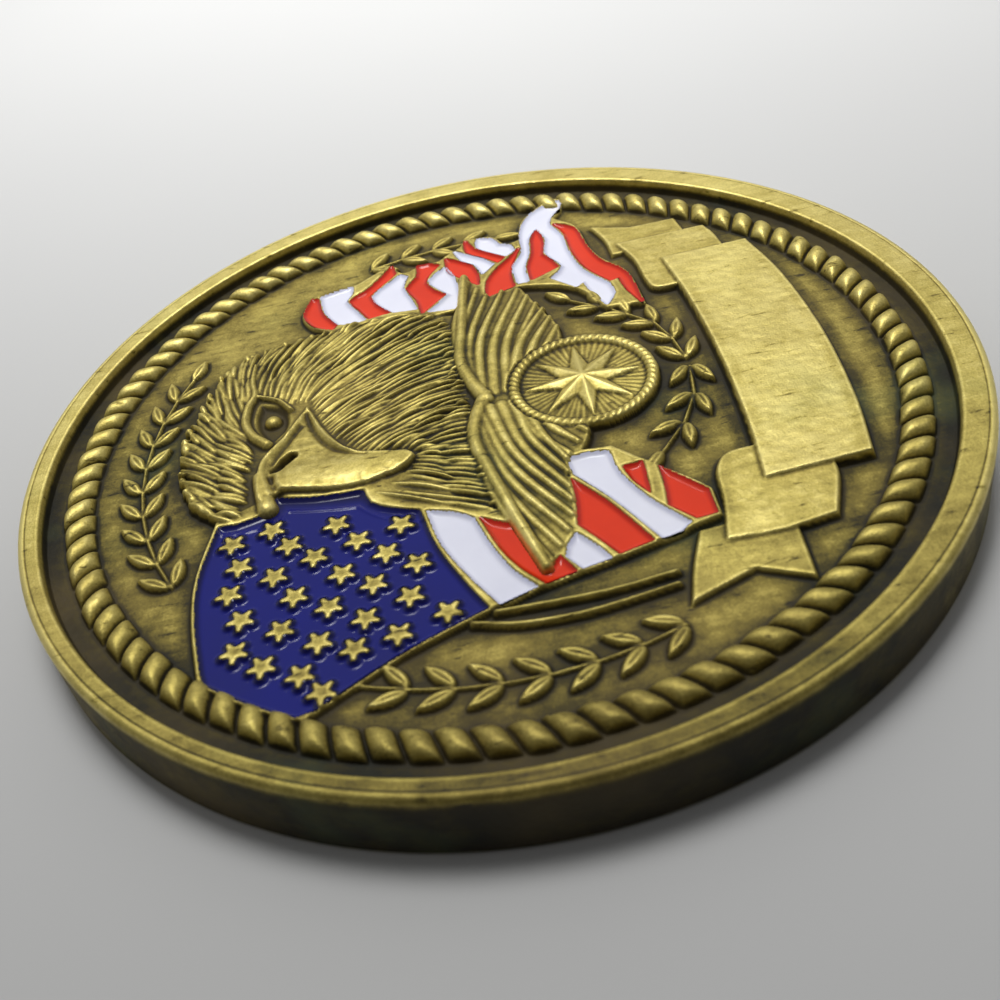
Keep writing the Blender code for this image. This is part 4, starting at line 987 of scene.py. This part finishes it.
def build_border(cells, brass):
    """The rope, the groove round it, the rim, and the coin's edge down to the reverse's rim."""
    def shape(face):
        obverse(face, cells, np.random.default_rng(SEED))

    rows, wear_and_shade, rope_rows = border_rows(FIELD_Z, THICKNESS, shape)
    profile = edge_profile()
    start, end = rows[-1], circle_row(profile[0][0], THICKNESS)
    flat = [start * (1 - t) + end * t for t in np.linspace(0, 1, 7)[1:-1]]
    for row in flat:
        row[:, 2] = THICKNESS
    rows = np.concatenate([rows, flat, [circle_row(radius, z) for radius, z, _ in profile]])
    shares = np.array([0.68] * len(flat) + [share for _, _, share in profile])
    # painted shade: the rim and the coin's side are darkened where they face the camera (turned_away is the share of a
    # turn from there), most on the side wall and the turned line
    turned_away = np.abs(np.arange(COLUMNS) / COLUMNS - 0.5)
    painted_shade = np.where(shares < 0.6, 0.94, 0.5)[:, None] * np.exp(-((turned_away / PAINTED_SHADE_SHARE) ** 2))
    # painted shade: the rope, its groove and the rim outside the disc are also up to a fifth darker on the camera's
    # side
    onset = smooth((np.hypot(rows[: len(wear_and_shade), :, 0] - DIES_CENTRE[0], rows[: len(wear_and_shade), :, 1] - DIES_CENTRE[1]) - DISC) / 0.3)
    wear_and_shade = wear_and_shade * (1 - 0.2 * onset * np.exp(-((turned_away / PAINTED_SHADE_SHARE) ** 2)))
    wear_and_shade = np.concatenate([wear_and_shade, shares[:, None] * (1 - painted_shade)])
    points, quads = rows.reshape(-1, 3), ring_quads(len(rows))
    normals = vertex_normals(points, quads)
    row, column = quads[:, 0] // COLUMNS, quads[:, 0] % COLUMNS
    left = (column >= COLUMNS // 4) & (column < COLUMNS * 3 // 4)
    for name, mask, lanes in (
        ("coin_rope_left", (row < rope_rows) & left, 8),
        ("coin_rope_right", (row < rope_rows) & ~left, 8),
        ("coin_rim_and_edge", row >= rope_rows, 6),
    ):
        part = quads[mask]
        add_brass(name, points, part, normals, wear_and_shade.ravel(), ring_uv(part, lanes), brass)


def reverse(face):
    """Raises everything on the reverse: a faceted star in a laurel ring, inside the rope."""
    add_faceted_star(face, star_ring(DIES_CENTRE, 11.0, 0.36, 8, 90.0), DIES_CENTRE, 0.12, 0.5)
    for first, last in ((-84.0, 75.0), (264.0, 105.0)):
        add_laurel(face, arc_path(16.4, first, last, 4.2), 0.3, 3.4, 0.5)
    rope = rope_height(face.x, face.y) * (REVERSE_FIELD_Z / (THICKNESS - FIELD_Z))
    face.raise_to(..., np.where(rope > 0.02, face.base + rope, -np.inf))


def build_reverse(brass):
    """The underside: the same kinds of relief, standing down from the reverse's field."""
    def turned(points):
        return points * (1, 1, -1) + (0, 0, REVERSE_FIELD_Z)

    points, quads, wear_and_shade = disc_points(REVERSE_STEP, 0.0, reverse)
    points, quads = turned(points), quads[:, ::-1]
    add_brass("coin_reverse_face", points, quads, vertex_normals(points, quads), wear_and_shade, flat_uv(points, quads), brass)
    rows, wear_and_shade, _ = border_rows(0.0, REVERSE_FIELD_Z, reverse)
    rows = np.concatenate([turned(rows), [circle_row(RADIUS - REVERSE_ROUNDING, 0.0)]])
    wear_and_shade = np.concatenate([wear_and_shade, wear_and_shade[-1:]])
    points, quads = rows.reshape(-1, 3), ring_quads(len(rows))
    uv = ring_uv(quads, 8)[:, ::-1]
    quads = quads[:, ::-1]
    normals = vertex_normals(points, quads)
    add_brass("coin_reverse_border", points, quads, normals, wear_and_shade.ravel(), uv, brass)


# -------------------------------------------------------------------------------------------------- enamel
def build_enamel(node, ring, material):
    """One pool of cured enamel: a sheet that climbs its cell's walls, and the stars' in the canton."""
    step = STEP * 1.25
    low, high = ring.min(0) - 4 * step, ring.max(0) + 4 * step
    x, y = np.meshgrid(np.arange(low[0], high[0], step), np.arange(low[1], high[1], step))
    depth = depth_inside(x, y, ring) + cell_growth(node)
    shore = depth.copy()
    lip = 0.0
    # tone drives the painted shade: the enamel is painted darker close to its cell's walls
    tone = shore
    if "canton" in node:
        for centre in STAR_CENTRES:
            shore = np.minimum(shore, 1.3 * (-star_depth(x, y, centre) - STAR_SLOPE * 0.4))
        pool = -np.maximum(depth_inside(x, y, outline(BEAK)), depth_inside(x, y, outline(HEAD)))
        lip = POOL_LIP * np.exp(-(((pool - POOL_REACH) / 0.09) ** 2))
        # in the canton, painted shade also next to the stars and within POOL_REACH of the beak and the neck
        tone = np.minimum(shore, pool * 0.3 / POOL_REACH)
    rng = np.random.default_rng(abs(int(ring[0, 0] * 100)))
    swell = sum(
        0.006 * np.sin(rng.uniform(0.6, 1.8) * (x * math.cos(a) + y * math.sin(a)) + rng.uniform(0, 6.28))
        for a in rng.uniform(0, math.pi, 4)
    )
    z = ENAMEL_Z + MENISCUS_HEIGHT * np.clip(1 - shore / MENISCUS_REACH, 0, 1) ** 1.4 + swell + lip
    columns = x.shape[1]
    inside = (depth > -0.02) & (shore > -0.1)
    kept = inside[:-1, :-1] & inside[1:, :-1] & inside[:-1, 1:] & inside[1:, 1:]
    i, j = np.nonzero(kept)
    corner = i * columns + j
    quads = np.stack([corner, corner + 1, corner + columns + 1, corner + columns], 1)
    points = np.stack([x.ravel(), y.ravel(), z.ravel()], 1)
    add_piece(node.replace("enamel", "glaze"), points, quads, vertex_normals(points, quads),
              {"shore": tone.ravel()}, flat_uv(points, quads), material, [node])


# ------------------------------------------------------------------------------------------------ materials
class Nodes:
    """A short way to wire a node tree."""

    def __init__(self, tree):
        self.tree = tree

    def add(self, kind, settings=(), **inputs):
        node = self.tree.nodes.new(kind)
        for key, value in dict(settings).items():
            setattr(node, key, value)
        for key, value in inputs.items():
            self.plug(node, key.replace("_", " "), value)
        return node

    def plug(self, node, key, value):
        socket = node.inputs[key] if not key.isdigit() else node.inputs[int(key)]
        if isinstance(value, bpy.types.NodeSocket):
            self.tree.links.new(value, socket)
        else:
            socket.default_value = value

    def math(self, operation, a, b=0.0, clamp=False):
        node = self.tree.nodes.new("ShaderNodeMath")
        node.operation, node.use_clamp = operation, clamp
        self.plug(node, "0", a)
        self.plug(node, "1", b)
        return node.outputs[0]

    def span(self, value, low, high, out_low=0.0, out_high=1.0, smooth_step=False):
        node = self.tree.nodes.new("ShaderNodeMapRange")
        node.interpolation_type = "SMOOTHSTEP" if smooth_step else "LINEAR"
        for key, number in zip(("From Min", "From Max", "To Min", "To Max"), (low, high, out_low, out_high)):
            node.inputs[key].default_value = number
        self.plug(node, "Value", value)
        return node.outputs[0]

    def noise(self, scale, detail=4.0, roughness=0.6, vector=None, distortion=0.0):
        node = self.add("ShaderNodeTexNoise")
        node.inputs["Scale"].default_value = scale
        node.inputs["Detail"].default_value = detail
        node.inputs["Roughness"].default_value = roughness
        node.inputs["Distortion"].default_value = distortion
        if vector is not None:
            self.plug(node, "Vector", vector)
        return node.outputs["Fac"]

    def mix(self, share, a, b, blend="MIX"):
        node = self.tree.nodes.new("ShaderNodeMix")
        node.data_type, node.blend_type = "RGBA", blend
        self.plug(node, "0", share)
        for key, value in (("6", a), ("7", b)):
            self.plug(node, key, value if isinstance(value, bpy.types.NodeSocket) else (*value, 1.0))
        return node.outputs[2]

    def ramp(self, value, stops):
        node = self.tree.nodes.new("ShaderNodeValToRGB")
        self.plug(node, "Fac", value)
        elements = node.color_ramp.elements
        while len(elements) < len(stops):
            elements.new(0.5)
        for element, (position, colour) in zip(elements, stops):
            element.position = position
            element.color = (*colour, 1.0)
        return node.outputs["Color"]

    def attribute(self, name):
        return self.add("ShaderNodeAttribute", {"attribute_name": name}).outputs["Fac"]


def material(name):
    made = bpy.data.materials.new(name)
    made.use_nodes = True
    return made, Nodes(made.node_tree), made.node_tree.nodes["Principled BSDF"]


def brass_material():
    """Antiqued brass: dark patina in the hollows, rubbed bright on what stands out, with fine grain, pits and rubs, and
    painted shade that darkens it towards the camera's side.
    """
    made, n, shader = material("antique_brass")
    where = n.add("ShaderNodeTexCoord").outputs["Object"]
    stretched = n.add("ShaderNodeMapping")
    stretched.inputs["Scale"].default_value = (1.0, 0.22, 1.0)
    n.plug(stretched, "Vector", where)
    grain = n.noise(9000.0, 3.0, 0.6, where)
    blotch = n.noise(520.0, 5.0, 0.62, where)
    rubs = n.noise(2300.0, 4.0, 0.65, stretched.outputs["Vector"])
    broad = n.noise(110.0, 3.0, 0.55, where)
    wear_and_shade = n.attribute("wear_and_shade")
    place = n.add("ShaderNodeSeparateXYZ")
    n.plug(place, "Vector", where)
    # painted shade: darker towards the camera's side of the coin (lower X), lighter away from it
    wear_and_shade = n.math("ADD", wear_and_shade, n.math("MULTIPLY", place.outputs["X"], 1.6))
    for texture, share in ((blotch, 0.42), (grain, 0.34), (rubs, 0.3)):
        wear_and_shade = n.math("ADD", wear_and_shade, n.math("MULTIPLY", n.math("SUBTRACT", texture, 0.5), share))
    pits = n.math("MULTIPLY", n.span(rubs, 0.3, 0.38, 1.0, 0.0, True), 0.24)
    wear_and_shade = n.math("SUBTRACT", wear_and_shade, pits, clamp=True)
    colour = n.ramp(wear_and_shade, (
        (0.0, (0.012, 0.011, 0.005)),
        (0.2, (0.058, 0.048, 0.014)),
        (0.4, (0.22, 0.175, 0.042)),
        (0.62, (0.53, 0.435, 0.115)),
        (0.8, (0.81, 0.69, 0.24)),
    ))
    warm = n.mix(n.span(broad, 0.42, 0.7, 0.0, 0.2), colour, (0.3, 0.21, 0.07))
    colour = n.mix(n.span(broad, 0.25, 0.42, 0.22, 0.0), warm, (0.2, 0.26, 0.1))
    n.plug(shader, "Base Color", colour)
    n.plug(shader, "Metallic", n.span(wear_and_shade, 0.0, 0.4, 0.45, 0.82))
    rough = n.math("ADD", n.span(wear_and_shade, 0.2, 0.9, 0.66, 0.43), n.math("MULTIPLY", n.math("SUBTRACT", grain, 0.5), 0.2))
    n.plug(shader, "Roughness", rough)
    bump = n.add("ShaderNodeBump")
    bump.inputs["Strength"].default_value = 0.4
    bump.inputs["Distance"].default_value = 0.00005
    texture = n.math("ADD", grain, n.math("MULTIPLY", n.noise(2500.0, 4.0, 0.6, where), 1.2))
    n.plug(bump, "Height", n.math("SUBTRACT", texture, pits))
    n.plug(shader, "Normal", bump.outputs["Normal"])
    return made


def enamel_material(name, colour, dark):
    """Glossy cured enamel, a little uneven, with painted shade where it climbs a wall."""
    made, n, shader = material(name)
    where = n.add("ShaderNodeTexCoord").outputs["Object"]
    shore = n.attribute("shore")
    patch = n.noise(260.0, 4.0, 0.55, where)
    shade = n.mix(n.span(patch, 0.3, 0.75, 0.0, 0.3), colour, dark)
    # painted shade: darker where the enamel nears a wall, a star or the beak
    shade = n.mix(n.span(shore, 0.08, 0.3, 0.9, 0.0, True), shade, dark)
    n.plug(shader, "Base Color", shade)
    n.plug(shader, "Roughness", n.span(patch, 0.3, 0.7, 0.14, 0.22))
    n.plug(shader, "Specular IOR Level", 0.3)
    bump = n.add("ShaderNodeBump")
    bump.inputs["Strength"].default_value = 0.12
    bump.inputs["Distance"].default_value = 0.00008
    n.plug(bump, "Height", n.noise(700.0, 3.0, 0.5, where))
    n.plug(shader, "Normal", bump.outputs["Normal"])
    return made


def floor_material():
    made, n, shader = material("pale_floor")
    where = n.add("ShaderNodeTexCoord").outputs["Object"]
    tone = n.noise(14.0, 3.0, 0.5, where)
    n.plug(shader, "Base Color", n.mix(tone, (0.57, 0.57, 0.565), (0.61, 0.61, 0.6)))
    n.plug(shader, "Roughness", 0.8)
    n.plug(shader, "Specular IOR Level", 0.2)
    return made


# ------------------------------------------------------------------------------------------------ the stage
def build_stage():
    mesh = bpy.data.meshes.new("floor")
    half = 0.32
    mesh.from_pydata([(-half, -half, 0), (half, -half, 0), (half, half, 0), (-half, half, 0)], [], [(0, 1, 2, 3)])
    mesh.materials.append(floor_material())
    floor = bpy.data.objects.new("floor", mesh)
    bpy.context.scene.collection.objects.link(floor)


def area_light(name, place, aim, size, power, spread_deg):
    data = bpy.data.lights.new(name, "AREA")
    data.size, data.energy, data.spread = size, power, math.radians(spread_deg)
    made = bpy.data.objects.new(name, data)
    made.location = place
    made.rotation_euler = (Vector(aim) - Vector(place)).to_track_quat("-Z", "Y").to_euler()
    bpy.context.scene.collection.objects.link(made)


def build_world():
    """Soft light from above and behind the coin, and darker towards the camera."""
    world = bpy.data.worlds.new("studio")
    bpy.context.scene.world = world
    world.use_nodes = True
    n = Nodes(world.node_tree)
    split = n.add("ShaderNodeSeparateXYZ")
    n.plug(split, "Vector", n.add("ShaderNodeTexCoord").outputs["Generated"])
    up = n.span(split.outputs["Z"], 0.0, 0.8, 0.0, 1.0, True)
    away = n.span(split.outputs["X"], -0.6, 0.7, 0.0, 1.0, True)
    strength = n.math("ADD", 0.02, n.math("ADD", n.math("MULTIPLY", up, 0.07), n.math("MULTIPLY", away, 0.4)))
    seen = n.add("ShaderNodeLightPath").outputs["Is Camera Ray"]
    strength = n.math("MAXIMUM", strength, n.math("MULTIPLY", seen, 0.7))
    background = world.node_tree.nodes["Background"]
    n.plug(background, "Strength", strength)
    background.inputs["Color"].default_value = (1.0, 1.0, 1.0, 1.0)


def build_camera():
    """The camera looks along +X, down on the coin and a little off its centre, turned about its own axis."""
    elevation, distance = math.radians(38.4326), 67.103 * MM
    pan, tilt, roll = (math.radians(a) for a in (-0.447, -2.377, -12.135))
    focal_share = 1.21017  # focal length over the picture's width
    place = Vector((-distance * math.cos(elevation), 0.0, distance * math.sin(elevation)))
    ahead = (-place).normalized()
    right = ahead.cross(Vector((0, 0, 1))).normalized()
    up = right.cross(ahead)
    ahead = (ahead + math.tan(pan) * right + math.tan(tilt) * up).normalized()
    right = ahead.cross(up).normalized()
    up = right.cross(ahead)
    side = math.cos(roll) * right + math.sin(roll) * up
    top = -math.sin(roll) * right + math.cos(roll) * up
    data = bpy.data.cameras.new("camera")
    data.sensor_width = 36.0
    data.lens = 36.0 * focal_share
    data.clip_start = 0.001
    data.dof.use_dof = True
    data.dof.focus_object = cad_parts["struck_coin"]
    data.dof.aperture_fstop = 90.0
    camera = bpy.data.objects.new("camera", data)
    camera.matrix_world = Matrix.Translation(place) @ Matrix((side, top, -ahead)).transposed().to_4x4()
    bpy.context.scene.collection.objects.link(camera)
    bpy.context.scene.camera = camera


# ----------------------------------------------------------------------------------------------------- main
brass = brass_material()
# The second colour of each enamel serves its uneven patches and its painted shade.
enamels = {
    "blue": enamel_material("enamel_blue", (0.008, 0.012, 0.2), (0.002, 0.002, 0.045)),
    "red": enamel_material("enamel_red", (0.84, 0.05, 0.014), (0.45, 0.014, 0.006)),
    "white": enamel_material("enamel_white", (0.88, 0.89, 1.0), (0.6, 0.61, 0.76)),
}
enamel_nodes = sorted(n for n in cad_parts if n.startswith("enamel"))
cells = {node: cell_ring(node) for node in enamel_nodes}
build_obverse(cells, brass)
build_border(cells, brass)
build_reverse(brass)
for node in enamel_nodes:
    colour = node.split("_")[1]
    build_enamel(node, cells[node], enamels[colour])
build_stage()
area_light("softbox", (0.15, 0.0, 0.33), (0.13, -0.015, 0.0), 0.2, 0.285, 58.0)
build_world()
build_camera()
bpy.context.scene.view_settings.view_transform = "Standard"
